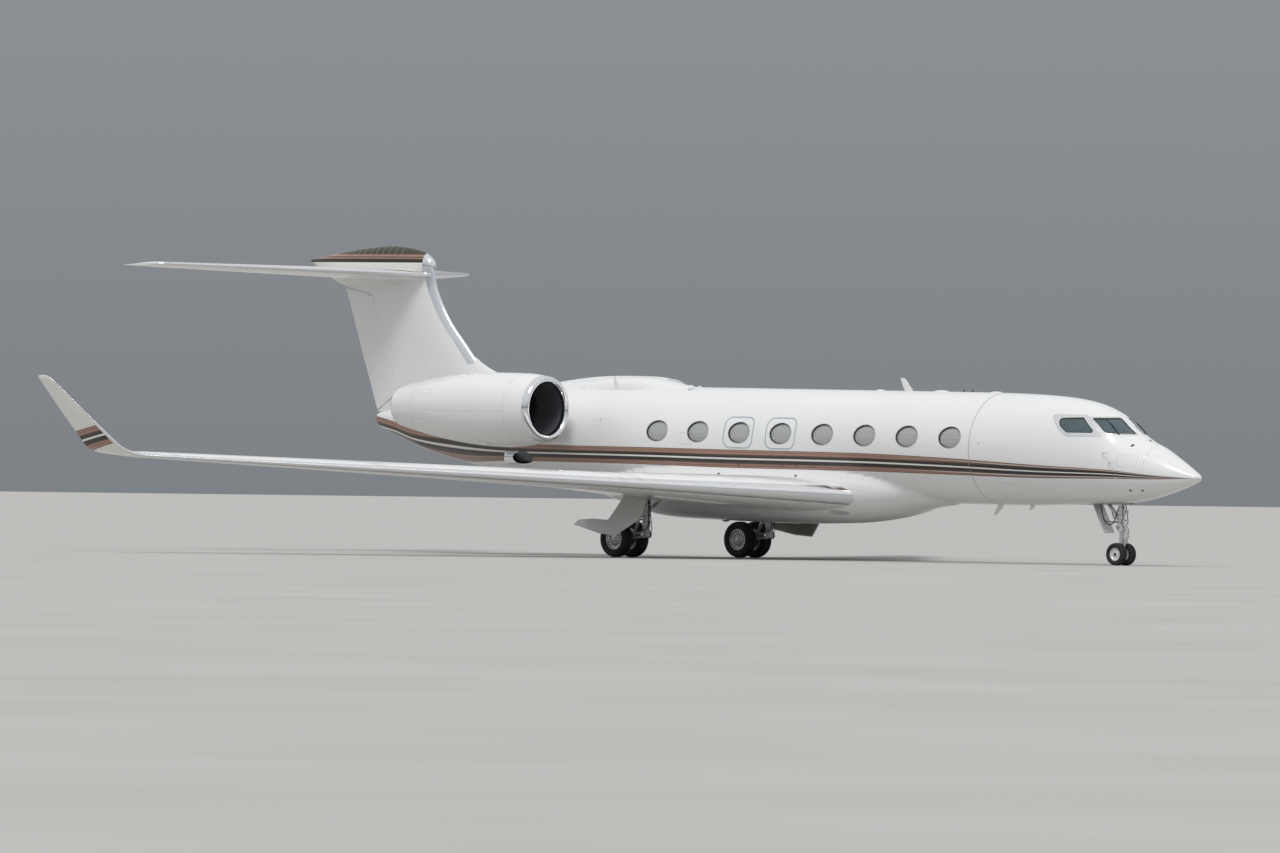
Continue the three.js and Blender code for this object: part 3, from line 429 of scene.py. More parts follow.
def add(tree, kind, inputs, out=0, **settings):
    """A node with its inputs set, or joined to other nodes' outputs, and one of its outputs."""
    made = tree.nodes.new("ShaderNode" + kind)
    for key, value in settings.items():
        setattr(made, key, value)
    for key, value in inputs.items():
        if isinstance(value, bpy.types.NodeSocket):
            tree.links.new(value, made.inputs[key])
        else:
            made.inputs[key].default_value = value
    return made.outputs[out]


def noise(tree, scale, detail=4.0, stretch=(1, 1, 1)):
    """Noise on object coordinates, stretched by a scale along each axis."""
    place = add(tree, "Mapping", {"Vector": add(tree, "TexCoord", {}, "Object"), "Scale": stretch})
    return add(tree, "TexNoise", {"Vector": place, "Scale": scale, "Detail": detail}, "Fac")


def ramp(tree, value, stops, mode="LINEAR"):
    """A colour ramp over a value, from (position, colour) stops."""
    made = tree.nodes.new("ShaderNodeValToRGB")
    made.color_ramp.interpolation = mode
    while len(made.color_ramp.elements) < len(stops):
        made.color_ramp.elements.new(1.0)
    for element, (position, colour) in zip(made.color_ramp.elements, stops):
        element.position = position
        element.color = (*colour[:3], 1.0)
    tree.links.new(value, made.inputs["Fac"])
    return made.outputs["Color"]


WHITE = (0.80, 0.80, 0.79)
COPPER = (0.36, 0.205, 0.150)
COPPER_DARK = (0.12, 0.060, 0.042)
UMBER = (0.060, 0.034, 0.022)
BROWN = (0.020, 0.014, 0.010)
PALE_LINE = (0.80, 0.79, 0.75)
# Stripe band from its lower edge, 0, to its upper edge, 1
BAND = [
    (0.0, COPPER_DARK), (0.04, COPPER), (0.12, COPPER_DARK), (0.14, COPPER), (0.24, UMBER),
    (0.30, BROWN), (0.455, PALE_LINE), (0.555, BROWN), (0.66, UMBER), (0.745, COPPER),
    (0.86, COPPER_DARK), (0.885, COPPER), (0.965, COPPER_DARK), (1.0, WHITE),
]
# The same towards the nose, where the outer bands thin out
FORE_BAND = [
    (0.0, COPPER_DARK), (0.06, COPPER), (0.15, PALE_LINE), (0.20, UMBER), (0.27, BROWN),
    (0.46, PALE_LINE), (0.55, BROWN), (0.78, UMBER), (0.84, PALE_LINE), (0.88, COPPER),
    (0.95, COPPER_DARK), (1.0, WHITE),
]
CAP_COLOURS = [
    (0.0, BROWN), (0.45, COPPER), (0.60, UMBER), (0.72, COPPER), (0.98, UMBER),
    (1.25, (0.035, 0.038, 0.020)),
]


def dress(tree, shader, colour, gloss, rough, relief=None, strength=0.0):
    """Joins a colour, a gloss spread over a range of roughness, and relief to a shader."""
    tree.links.new(colour, shader.inputs["Base Color"])
    gloss = add(tree, "MapRange", {"Value": gloss, "To Min": rough[0], "To Max": rough[1]})
    tree.links.new(gloss, shader.inputs["Roughness"])
    if strength:
        normal = add(tree, "Bump", {"Strength": strength, "Distance": 0.001, "Height": relief})
        tree.links.new(normal, shader.inputs["Normal"])


def paint(name, colour=WHITE, bands=(), above=False):
    """Gloss aircraft paint: faint cloudiness in its colour and gloss, a slight orange peel, and
    stripes where the piece's band attribute runs from 0 to 1. A second set of stripes takes over
    as the fore attribute goes from 0 to 1. The last stripe may go on above the band."""
    made, tree, shader = new_finish(
        name, Roughness=0.3, Coat_Weight=0.6, Coat_Roughness=0.035, IOR=1.38)
    low = tuple(v * 0.975 for v in colour)
    base = ramp(tree, noise(tree, 0.6, 6.0, (0.35, 1, 1)), [(0.35, low), (0.65, colour)])
    mixed = lambda share, one, two: add(tree, "Mix", {"Factor": share, 6: one, 7: two}, 2,
                                        data_type="RGBA")
    if bands:
        read = add(tree, "Attribute", {}, "Fac", attribute_name="band")
        shift = add(tree, "MapRange", {"Value": read, "From Min": -1.0, "From Max": 2.0})
        sets = [ramp(tree, shift, [(0.0, WHITE)] + [((p + 1) / 3, c) for p, c in band], "CONSTANT")
                for band in bands]
        stripes = sets[0]
        if len(sets) > 1:
            stripes = mixed(add(tree, "Attribute", {}, "Fac", attribute_name="fore"), *sets)
        inside = ramp(tree, shift, [(0.0, (0, 0, 0)), (1 / 3, (1, 1, 1)),
                                    (2 / 3, (float(above),) * 3)], "CONSTANT")
        base = mixed(inside, base, stripes)
    dress(tree, shader, base, noise(tree, 2.0), (0.24, 0.34), noise(tree, 40.0, 2.0), 0.015)
    return made


def clouded(name, colour, rough, grain, dark=0.8, at=(0.3, 0.7), relief=0.0, **values):
    """A surface whose colour, gloss and relief all follow one noise: its scale, detail and
    stretch. Values of the shader that hold all over come last."""
    made, tree, shader = new_finish(name, **values)
    cloud = noise(tree, *grain)
    shade = ramp(tree, cloud, [(at[0], tuple(v * dark for v in colour)), (at[1], colour)])
    dress(tree, shader, shade, cloud, rough, cloud, relief)
    return made


def metal(name, colour, rough=(0.12, 0.22), grain=(1, 1, 40), scale=3.0):
    """Bare metal with a fine directional grain in its gloss and relief."""
    return clouded(name, colour, rough, (scale, 6.0, grain), 0.9, relief=0.05, Metallic=1.0)


def plain(name, colour, rough, scale=20.0, relief=0.1):
    """A satin or matt surface with a fine mottle in its colour, gloss and relief."""
    return clouded(name, colour, rough, (scale, 6.0), relief=relief)


def shade_finish(name, colour):
    """A pale ribbed shade behind a clear gloss pane: fine level ribs in its colour."""
    return clouded(name, colour, (0.35, 0.5), (9.0, 2.0, (0.05, 0.05, 6.0)), 0.82, (0.35, 0.65),
                   Coat_Weight=1.0, Coat_Roughness=0.03)


def glazing(name, colour):
    """Dark cockpit glass: mostly clear, with a tint and a faint smear in its gloss."""
    return clouded(name, colour, (0.02, 0.07), (3.0, 4.0), IOR=1.5, Transmission_Weight=0.75,
                   Coat_Weight=0.5)


FINISH = {
    "white": paint("white_gloss_paint"),
    "striped": paint("striped_gloss_paint", WHITE, (BAND, FORE_BAND)),
    "polished": metal("polished_leading_edge", (0.83, 0.84, 0.86), (0.10, 0.18), (1, 1, 30)),
    "chrome": metal("polished_intake_lip", (0.86, 0.87, 0.89), (0.05, 0.11), (40, 1, 1)),
    "hot": metal("heat_tinted_steel", (0.30, 0.27, 0.25), (0.3, 0.45)),
    "titanium": metal("fan_titanium", (0.30, 0.31, 0.33), (0.25, 0.4)),
    "alloy": metal("gear_alloy", (0.50, 0.51, 0.52), (0.35, 0.5)),
    "rim": metal("wheel_alloy", (0.78, 0.79, 0.80), (0.35, 0.5)),
    "steel": metal("sliding_chrome", (0.75, 0.76, 0.78), (0.08, 0.15)),
    "liner": plain("intake_liner", (0.10, 0.105, 0.115), (0.35, 0.5)),
    # Near-black painted shade for holes: window pockets, tail exhaust, scoop throat, wheel openings.
    "dark": plain("painted_shade_black", (0.012, 0.012, 0.013), (0.6, 0.8)),
    "seam": plain("panel_seam", (0.52, 0.525, 0.53), (0.5, 0.7)),
    "exit_line": plain("exit_outline", (0.42, 0.47, 0.54), (0.4, 0.6)),
    "rubber": plain("tyre_rubber", (0.022, 0.022, 0.024), (0.7, 0.9), 60.0, 0.3),
    "gear_white": paint("gear_white_paint", (0.74, 0.74, 0.72)),
    "primer": plain("bay_primer", (0.36, 0.40, 0.33), (0.5, 0.7)),
    "deck": plain("deck_trim", (0.10, 0.095, 0.09), (0.6, 0.8)),
    "lining": plain("cabin_lining", (0.30, 0.28, 0.25), (0.6, 0.8)),
    "glass": glazing("cockpit_glass", (0.22, 0.34, 0.39)),
    "winglet": paint("winglet_paint", (0.78, 0.775, 0.73), (BAND,)),
    "cap": paint("cap_paint", (0.78, 0.775, 0.73), (CAP_COLOURS,), True),
    "strip": paint("cap_strip_paint", (0.20, 0.22, 0.17)),
    "spinner": plain("spinner_paint", (0.06, 0.062, 0.066), (0.22, 0.35), 30.0, 0.05),
    "hose": plain("hose_rubber", (0.015, 0.015, 0.016), (0.45, 0.6), 80.0),
    "seal": plain("window_seal", (0.020, 0.020, 0.022), (0.5, 0.65), 60.0),
    "blind": shade_finish("window_blind", (0.42, 0.43, 0.42)),
    "trim": metal("bright_window_trim", (0.80, 0.81, 0.82), (0.15, 0.25), (1, 1, 1), 20.0),
    "lens": shade_finish("lamp_lens", (0.55, 0.57, 0.58)),
}


# Studio: camera, floor, light

def make_camera():
    """The photograph's camera: turned by its yaw, tipped by its pitch, then rolled."""
    yaw, pitch, roll = (math.radians(CAMERA[key]) for key in ("yaw", "pitch", "roll"))
    level = Vector((math.cos(yaw), math.sin(yaw), 0))
    ahead = Vector((-math.sin(yaw) * math.cos(pitch), math.cos(yaw) * math.cos(pitch),
                    math.sin(pitch)))
    upright = level.cross(ahead)
    right = level * math.cos(roll) + upright * math.sin(roll)
    up = upright * math.cos(roll) - level * math.sin(roll)
    lens = bpy.data.cameras.new("camera")
    lens.sensor_width = 36.0
    lens.lens = CAMERA["focal_px"] * lens.sensor_width / CAMERA["width_px"]
    lens.clip_end = 5000.0
    camera = placed("camera", lens)
    turn = Matrix((right, up, -ahead)).transposed().to_4x4()
    camera.matrix_world = Matrix.Translation(CAMERA["spot"]) @ turn
    bpy.context.scene.camera = camera


def make_studio():
    """A wide pale floor, a soft sky that is brightest overhead, and one broad high light."""
    finish, tree, shader = new_finish("pale_floor", Roughness=0.9)
    tree.links.new(ramp(tree, noise(tree, 0.2, 5.0), [(0.3, (0.44, 0.43, 0.41)),
                                                      (0.7, (0.48, 0.47, 0.45))]),
                   shader.inputs["Base Color"])
    ring = turned([[1500.0, 0.0]], (0, 0, 0), "", "z", 96)[0]
    mesh = bpy.data.meshes.new("floor")
    mesh.from_pydata(ring[0].tolist(), [], [list(range(96))])
    mesh.materials.append(finish)
    placed("floor", mesh)

    world = bpy.data.worlds.new("sky")
    bpy.context.scene.world = world
    world.use_nodes = True
    tree = world.node_tree
    place = add(tree, "TexCoord", {}, "Generated")
    sky = ramp(tree, add(tree, "SeparateXYZ", {"Vector": place}, "Z"),
               [(0.0, (0.26, 0.28, 0.30)), (0.06, (0.34, 0.36, 0.385)), (0.20, (0.66, 0.69, 0.73)),
                (0.5, (0.84, 0.86, 0.89)), (1.0, (1.0, 1.0, 1.0))])
    tree.links.new(sky, tree.nodes["Background"].inputs["Color"])
    tree.nodes["Background"].inputs["Strength"].default_value = 0.80

    sun = bpy.data.lights.new("high_light", "SUN")
    sun.energy = 1.4
    sun.angle = math.radians(22)
    placed("high_light", sun).rotation_euler = [math.radians(turn) for turn in (30, 8, 20)]
    bpy.context.scene.view_settings.view_transform = "Standard"


# The hull as one surface in station and angle. Angle 0 is to port, a quarter turn is up.

def outer_reach(table, station, angle, centre):
    """How far a section reaches from a centre along an angle: the last crossing of its
    superellipse, found by stepping outwards. It is 0 past the table's ends."""
    _, top, bottom, half, waist, square = np.moveaxis(smooth_at(table, station), -1, 0)
    steps = np.linspace(0.0, 2.4, 241)
    y = steps * np.cos(angle)[..., None]
    z = centre[..., None] + steps * np.sin(angle)[..., None] - waist[..., None]
    reach = np.where(z > 0, (top - waist)[..., None], (waist - bottom)[..., None])
    level = (np.abs(y / half[..., None]) ** square[..., None]
             + np.abs(z / reach) ** square[..., None] - 1)
    inside = level < 0
    last = inside.shape[-1] - 1 - np.argmax(inside[..., ::-1], axis=-1)
    last = np.minimum(last, len(steps) - 2)
    a = np.take_along_axis(level, last[..., None], -1)[..., 0]
    b = np.take_along_axis(level, last[..., None] + 1, -1)[..., 0]
    found = steps[last] + (steps[1] - steps[0]) * np.where(b > a, -a / (b - a + 1e-12), 0)
    there = inside.any(-1) & (station >= table[0][0]) & (station <= table[-1][0])
    return np.where(there, found, 0.0)


def blended(one, two, soft):
    """The larger of two reaches, with the corner between them rounded over a soft width."""
    near = np.maximum(soft - np.abs(one - two), 0.0) / soft
    return np.maximum(one, two) + near**2 * soft / 4


def hull_centre(station):
    """The level height of the hull's widest line, from which its angles are counted."""
    return smooth_at(HULL, station)[..., 4]


def hull_reach(station, angle):
    """The hull's superellipse in polar form, rounded off at the nose tip and the tail's end, and
    blended with its fairings."""
    _, top, bottom, half, waist, square = np.moveaxis(smooth_at(HULL, station), -1, 0)
    reach = np.where(np.sin(angle) > 0, top - waist, waist - bottom)
    bare = (np.abs(np.cos(angle) / half) ** square
            + np.abs(np.sin(angle) / reach) ** square) ** (-1 / square)
    blunt = np.clip((station - TIP) / 0.085, 0, 1)
    ended = np.clip((TAIL_END - station) / 0.05, 0, 1)
    bare = bare * np.sqrt(1 - (1 - blunt) ** 2) * (0.75 + 0.25 * np.sqrt(1 - (1 - ended) ** 2))
    for table, soft in ((FAIRING, 0.10), (CROWN, 0.10), (RIDGE, 0.12)):
        touched = (station >= table[0][0]) & (station <= table[-1][0])
        if not touched.any():
            continue
        more = outer_reach(table, station[touched], angle[touched], waist[touched])
        bare[touched] = np.where(more > 0, blended(bare[touched], more, soft), bare[touched])
    return bare


def hull_point(station, angle, lift=0.0):
    """The parked point of the hull's skin at a station and angle, lifted off it by a margin."""
    station, angle, lift = np.broadcast_arrays(
        *(np.atleast_1d(np.asarray(value, float)) for value in (station, angle, lift)))
    reach = hull_reach(station.copy(), angle.copy()) + lift
    points = np.stack([NOSE_X - station, reach * np.cos(angle),
                       hull_centre(station) + reach * np.sin(angle)], axis=-1)
    return to_parked(points)


def halved(low, high, shape, below):
    """Where a test of a value stops being true, by halving the range thirty times."""
    low, high = np.full(shape, low), np.full(shape, high)
    for _ in range(30):
        middle = (low + high) / 2
        short = below(middle)
        low, high = np.where(short, middle, low), np.where(short, high, middle)
    return (low + high) / 2


def angle_at_height(station, height, side):
    """The angle on one side at which the skin lies at a level height."""
    station, height = np.broadcast_arrays(np.asarray(station, float), np.asarray(height, float))
    found = halved(-np.pi / 2, np.pi / 2, station.shape, lambda angle: hull_centre(station)
                   + hull_reach(station, angle) * np.sin(angle) < height)
    return found if side > 0 else -np.pi - found


def station_at_front(y, height):
    """Station and angle at which the nose's skin passes through a point of the front view."""
    angle_at = lambda station: np.arctan2(height - hull_centre(station), y)
    found = halved(1.6, 4.2, np.shape(y), lambda station: hull_reach(station, angle_at(station))
                   < np.hypot(y, height - hull_centre(station)))
    angle = angle_at(found)
    return found, np.where(angle > np.pi / 2, angle - 2 * np.pi, angle)


def skin_y(station, height):
    """How far out the port skin lies at stations and level heights."""
    angle = angle_at_height(station, height, 1)
    return hull_reach(np.broadcast_to(station, angle.shape), angle) * np.cos(angle)


SCALE = 1.3  # metres of skin to one radian of angle, about


def signed_area(outline):
    """Twice the area inside a closed outline, positive where it runs anticlockwise."""
    ahead = np.roll(outline, -1, axis=0)
    return np.sum(outline[:, 0] * ahead[:, 1] - outline[:, 1] * ahead[:, 0])


def inside_outline(outline, points):
    """Whether each point lies inside a closed outline, by counting the edges crossed."""
    x, y = points[:, 0:1], points[:, 1:2]
    a, b = outline, np.roll(outline, -1, axis=0)
    crosses = (a[:, 1] > y) != (b[:, 1] > y)
    rise = np.where(b[:, 1] == a[:, 1], 1e-12, b[:, 1] - a[:, 1])
    left = x < a[:, 0] + (y - a[:, 1]) * (b[:, 0] - a[:, 0]) / rise
    return (crosses & left).sum(1) % 2 == 1


def off_outline(outline, points):
    """Each point's distance from a closed outline: the least over its straight edges."""
    a, edge = outline[None], (np.roll(outline, -1, axis=0) - outline)[None]
    away = points[:, None] - a
    t = np.clip((away * edge).sum(-1) / np.maximum((edge**2).sum(-1), 1e-12), 0, 1)
    return np.linalg.norm(away - t[..., None] * edge, axis=-1).min(1)


def trimmed(stations, angles, outlines, inside=False, wrap=True):
    """A grid in station and angle that ends exactly on outlines. Cells clear of the outlines stay
    quads, and the strip between them and the outlines is filled with Delaunay triangles. Gives
    the vertices' stations and angles, the faces, and each outline's vertices in order."""
    n, m = len(stations), len(angles)
    grid = np.stack(np.meshgrid(stations, angles * SCALE, indexing="ij"), axis=-1).reshape(-1, 2)
    margin = 0.45 * max(np.diff(stations).min(), np.diff(angles).min() * SCALE)
    shapes = [line * [1, SCALE] for line in outlines]
    good = np.full(len(grid), not inside)
    for shape in shapes:
        low, high = shape.min(0) - 2 * margin, shape.max(0) + 2 * margin
        near = np.flatnonzero(((grid > low) & (grid < high)).all(1))
        kept = inside_outline(shape, grid[near]) == inside
        good[near] = (inside | good[near]) & kept & (off_outline(shape, grid[near]) >= margin)
    i, j = np.meshgrid(np.arange(n - 1), np.arange(m if wrap else m - 1), indexing="ij")
    k = (j + 1) % m
    quads = np.stack([i * m + j, i * m + k, (i + 1) * m + k, (i + 1) * m + j], -1).reshape(-1, 4)
    whole = good[quads].all(1)
    border = np.unique(quads[~whole])
    border = border[good[border]]
    sides = quads[whole][:, [[0, 1], [1, 2], [2, 3], [3, 0]]].reshape(-1, 2)
    sides = np.sort(sides[np.isin(sides, border).all(1)], axis=1)
    pairs, times = np.unique(sides, axis=0, return_counts=True)
    edges = np.searchsorted(border, pairs[times == 1]).tolist()
    flat, starts = [*grid[border]], []
    for shape in shapes:
        starts.append(len(flat))
        edges += [(len(flat) + c, len(flat) + (c + 1) % len(shape)) for c in range(len(shape))]
        flat += [*shape]
    out, _, triangles, origin, _, _ = delaunay_2d_cdt([Vector(at) for at in flat], edges, [], 0,
                                                      1e-7)
    out = np.array([tuple(point) for point in out])
    triangles = np.array([list(t) for t in triangles if len(t) == 3])
    middle = out[triangles].mean(1)
    within = np.any([inside_outline(shape, middle) for shape in shapes], axis=0)
    cell_i = np.clip(np.searchsorted(stations, middle[:, 0]) - 1, 0, n - 2)
    cell_j = np.clip(np.searchsorted(angles * SCALE, middle[:, 1]) - 1, 0, m - 2)
    full = whole.reshape(n - 1, -1)[cell_i, cell_j]
    past = (middle[:, 0] < stations[0]) | (middle[:, 0] > stations[-1])
    fill = triangles[(within == inside) & ~full & ~past]

    index, extra, rims = [], [], [{} for _ in shapes]
    for place, sources in zip(out, origin):
        if sources and sources[0] < len(border):
            index.append(border[sources[0]])
            continue
        index.append(len(grid) + len(extra))
        extra.append(place)
        for rim, start, shape in zip(rims, starts, shapes):
            rim.update({one: index[-1] for one in sources if 0 <= one - start < len(shape)})
    places = np.concatenate([grid, np.reshape(extra, (-1, 2))])
    fill = np.array(index)[fill]
    a, b, c = places[fill.T]
    turn = (b - a)[:, 0] * (c - a)[:, 1] - (b - a)[:, 1] * (c - a)[:, 0]
    fill[turn < 0] = fill[turn < 0][:, ::-1]
    quads = quads[whole][:, ::-1]
    used = np.unique([*quads.ravel(), *fill.ravel()])
    fresh = lambda old: np.searchsorted(used, old).tolist()
    places = places[used]
    return (places[:, 0], places[:, 1] / SCALE, fresh(quads) + fresh(fill),
            [fresh([rim[one] for one in sorted(rim)]) for rim in rims])


def cornered(corners, radii):
    """A closed outline round corners in a plane, each corner cut by an arc of its own radius, or
    of one for all, that touches both of its sides. Arcs have 9 points and sides 13 between."""
    corners = np.asarray(corners, float)
    t, arcs = np.linspace(0, 1, 9)[:, None], []
    for n, (corner, radius) in enumerate(zip(corners, np.broadcast_to(radii, len(corners)))):
        a, b = unit(corners[n - 1] - corner), unit(corners[(n + 1) % len(corners)] - corner)
        half = math.acos(float(np.clip(a @ b, -1, 1))) / 2
        cut, bow = radius / math.tan(half), math.pi - 2 * half
        middle = corner + unit(a + b) * radius / math.sin(half)
        first, last = corner + a * cut - middle, corner + b * cut - middle
        arcs.append(middle + (first * np.sin((1 - t) * bow) + last * np.sin(t * bow))
                    / math.sin(bow))
    share = (np.arange(1, 14) / 14)[:, None]
    return np.concatenate([line for arc, after in zip(arcs, arcs[1:] + arcs[:1])
                           for line in (arc, arc[-1] + (after[0] - arc[-1]) * share)])


def rounded(corners, radii):
    """The same outline in short even steps."""
    line = cornered(corners, radii)
    loop = np.concatenate([line, line[:1]])
    run = np.concatenate([[0], np.cumsum(np.linalg.norm(np.diff(loop, axis=0), axis=1))])
    step = min(0.03, np.ptp(line, axis=0).max() / 24)
    at = np.linspace(0, run[-1], max(int(run[-1] / step), 12), endpoint=False)
    return np.stack([np.interp(at, run, column) for column in loop.T], axis=-1)


def grown(outline, margin):
    """A closed outline moved outwards by a margin, along the mean of its two edges' normals."""
    ahead = unit(np.roll(outline, -1, axis=0) - np.roll(outline, 1, axis=0))
    normal = np.stack([ahead[:, 1], -ahead[:, 0]], axis=-1)
    return outline + normal * margin * np.sign(signed_area(outline))


# Openings of the hull: outlines in plan views, then as stations and angles on the skin
FRONT_PANE = ([[0.130, 3.250], [0.135, 3.610], [0.640, 3.597], [0.705, 3.250]],
              [0.03, 0.03, 0.05, 0.04])
FRONT_FRAME = ([[0.105, 3.222], [0.110, 3.640], [0.668, 3.630], [0.750, 3.220]],
               [0.04, 0.04, 0.06, 0.05])
SIDE_PANE = ([[3.603, 3.579], [3.500, 3.400], [3.280, 3.252], [2.587, 3.255], [3.007, 3.603]],
             [0.06, 0.14, 0.10, 0.03, 0.05])
SIDE_FRAME = ([[3.854, 3.677], [3.530, 3.325], [3.255, 3.163], [2.360, 3.168], [2.957, 3.672]],
              [0.04, 0.16, 0.12, 0.03, 0.05])
DOOR = {"front": 4.420, "back": 5.380, "sill": 1.990, "head": 3.760, "corner": 0.10}
WINDOW = {"first": 6.655, "pitch": 1.348, "count": 8, "height": 3.078, "long": 0.690,
          "tall": 0.505, "deep": 0.075}
EXITS = [(11.580, 12.515, 2.705, 3.446), (12.950, 13.885, 2.705, 3.446)]
# Hatches: front, back, low, high, side
HATCHES = [(17.050, 17.950, 2.750, 3.350, 1), (1.420, 1.900, 2.480, 2.760, 1),
           (1.420, 1.900, 2.480, 2.760, -1), (4.700, 5.350, 1.760, 2.020, -1),
           (14.900, 15.300, 2.760, 3.050, -1)]
# Ports and marks: station, height, radius, lift, finish, how much longer than tall
PORTS = [
    (1.687, 2.982, 0.030, 0.004, "seal", 1.0), (1.930, 2.203, 0.028, 0.003, "steel", 1.0),
    (1.659, 1.930, 0.020, 0.003, "seal", 1.8), (1.365, 1.937, 0.018, 0.003, "seal", 1.8),
    (14.030, 2.339, 0.018, 0.003, "seal", 1.0), (13.455, 2.302, 0.018, 0.003, "seal", 1.0),
    (12.028, 2.294, 0.018, 0.003, "seal", 1.0), (11.569, 2.315, 0.018, 0.003, "seal", 1.0),
    (10.993, 2.302, 0.018, 0.003, "seal", 1.0), (13.969, 2.073, 0.018, 0.002, "seal", 2.0),
    (11.479, 2.075, 0.018, 0.002, "seal", 2.0), (10.290, 1.214, 0.055, 0.004, "lens", 4.8),
    (18.072, 3.317, 0.030, 0.006, "lens", 1.0), (5.750, 2.950, 0.020, 0.004, "lens", 2.2),
]
PROBES = [(2.243, 2.780), (2.060, 2.560)]
SCOOP = {"front": 20.490, "back": 21.590, "height": 2.335, "tall": 0.380, "wide": 0.125}
PYLON = [[0.700, 19.150, 4.350, 3.440, 0.085, 0, 0], [1.900, 19.500, 3.900, 3.440, 0.085, 0, 0]]
NOSE_LEG = 12.800
MAIN_LEG = {"post": -0.340, "axle": -1.052, "out": 2.232}
MAIN_AXLE = 0.445  # height of the main axles, their tyres' radius
WELL = {"front": 2.230, "back": 3.330, "half": 0.205, "roof": 1.925}


def front_outline(shape, margin, side, even=True):
    """An outline on the nose's skin, from its front view."""
    view = grown((rounded if even else cornered)(*shape), margin)
    station, angle = station_at_front(view[:, 0], view[:, 1])
    return np.stack([station, angle if side > 0 else -np.pi - angle], axis=-1)


def side_outline(shape, margin, side, even=True):
    """An outline on the skin, from its side view in station and level height."""
    view = grown((rounded if even else cornered)(*shape), margin)
    return np.stack([view[:, 0], angle_at_height(view[:, 0], view[:, 1], side)], axis=-1)


def window_outline(n, margin, side, share=1.0):
    """A cabin window, or a share of it: an ellipse in the side view."""
    t = circle(40)[0]
    station = WINDOW["first"] + n * WINDOW["pitch"] + (share * WINDOW["long"] / 2
                                                       + margin) * np.cos(t)
    height = WINDOW["height"] + (share * WINDOW["tall"] / 2 + margin) * np.sin(t)
    return np.stack([station, angle_at_height(station, height, side)], axis=-1)


def oblong(front, back, low, high):
    """The four corners of an upright box, from its low front corner along its foot."""
    return [[front, low], [back, low], [back, high], [front, high]]


def framed(front, back, low, high):
    """The four corners of an upright box, from its low front corner round over its top."""
    return [[front, low], [front, high], [back, high], [back, low]]


def door_outline(margin):
    """The doorway's outline on the port side, grown by a margin."""
    corners = framed(DOOR["front"], DOOR["back"], DOOR["sill"], DOOR["head"])
    return side_outline((corners, [0.02, DOOR["corner"], DOOR["corner"], 0.02]), margin, 1)


def well_outline():
    """The nose-wheel well, from below: stations and the angle at which the skin is that wide."""
    view = rounded(framed(WELL["front"], WELL["back"], -WELL["half"], WELL["half"]), 0.04)
    angle = np.full(len(view), -np.pi / 2)
    for _ in range(12):
        reach = hull_reach(view[:, 0], angle)
        angle = -np.pi / 2 + np.arcsin(np.clip(view[:, 1] / reach, -1, 1))
    return np.stack([view[:, 0], angle], axis=-1)


# Stripe band on the hull: station, height of its lower and of its upper edge
STRIPE = [
    [0.15, 2.234, 2.242],
    [1.06, 2.199, 2.302],
    [2.17, 2.190, 2.400],
    [4.24, 2.165, 2.477],
    [6.80, 2.190, 2.585],
    [9.50, 2.215, 2.648],
    [14.00, 2.215, 2.657],
    [16.65, 2.245, 2.665],
    [19.45, 2.250, 2.665],
    [21.75, 2.235, 2.705],
    [23.60, 2.200, 2.900],
    [25.30, 2.436, 3.000],
    [26.10, 2.660, 3.160],
    [26.93, 2.780, 3.300],
]


def give_band(made, height, low, high):
    """Stores how far each vertex lies up a stripe band, from its lower edge, 0, to its upper, 1."""
    give_attribute(made, "band", np.clip((height - low) / (high - low), -0.99, 1.99))


FORE = (5.0, 8.5)  # stations between which the fore stripes go over into the others
def give_stripes(made, points):
    """The stripe attributes of a hull piece: the band's height, and how far fore it lies."""
    level = to_level(points)
    station = NOSE_X - level[..., 0]
    give_band(made, level[..., 2], *np.moveaxis(smooth_at(STRIPE, station), -1, 0)[1:])
    give_attribute(made, "fore", np.clip((FORE[1] - station) / (FORE[1] - FORE[0]), 0, 1))


def angle_grid(count=AROUND):
    """Angles round the hull from just past the top, down the starboard side, and up to the top."""
    return np.linspace(np.pi / 2 - 2 * np.pi, np.pi / 2, count, endpoint=False)


def make_radome():
    """The nose cone: a closed skin from the tip to its seam."""
    t = np.linspace(0, 1, 60)
    station = TIP + (RADOME_END - 0.002 - TIP) * t**2
    rings = hull_point(station[:, None], angle_grid(96)[None])
    give_stripes(loft("radome_skin", rings, "striped", "radome"), rings)


def make_nose_section():
    """The hull from the radome to the barrel, with the cockpit's panes, the doorway and the wheel
    well cut from it, as a wall with a lining."""
    stations = np.concatenate([np.arange(RADOME_END, 4.3, 0.032), np.linspace(4.3, NOSE_END, 36)])
    outlines = [view(shape, 0, side) for view, shape in
                ((front_outline, FRONT_PANE), (side_outline, SIDE_PANE)) for side in (1, -1)]
    station, angle, faces, _ = trimmed(stations, angle_grid(),
                                       [*outlines, door_outline(0), well_outline()])
    points = hull_point(station, angle)
    made = piece("nose_section", points, faces, "striped lining", "airframe",
                 "fuselage")
    give_stripes(made, points)
    wall = made.modifiers.new("wall", "SOLIDIFY")
    wall.thickness = SKIN
    wall.offset = -1.0
    wall.material_offset = 1
    wall.material_offset_rim = 0


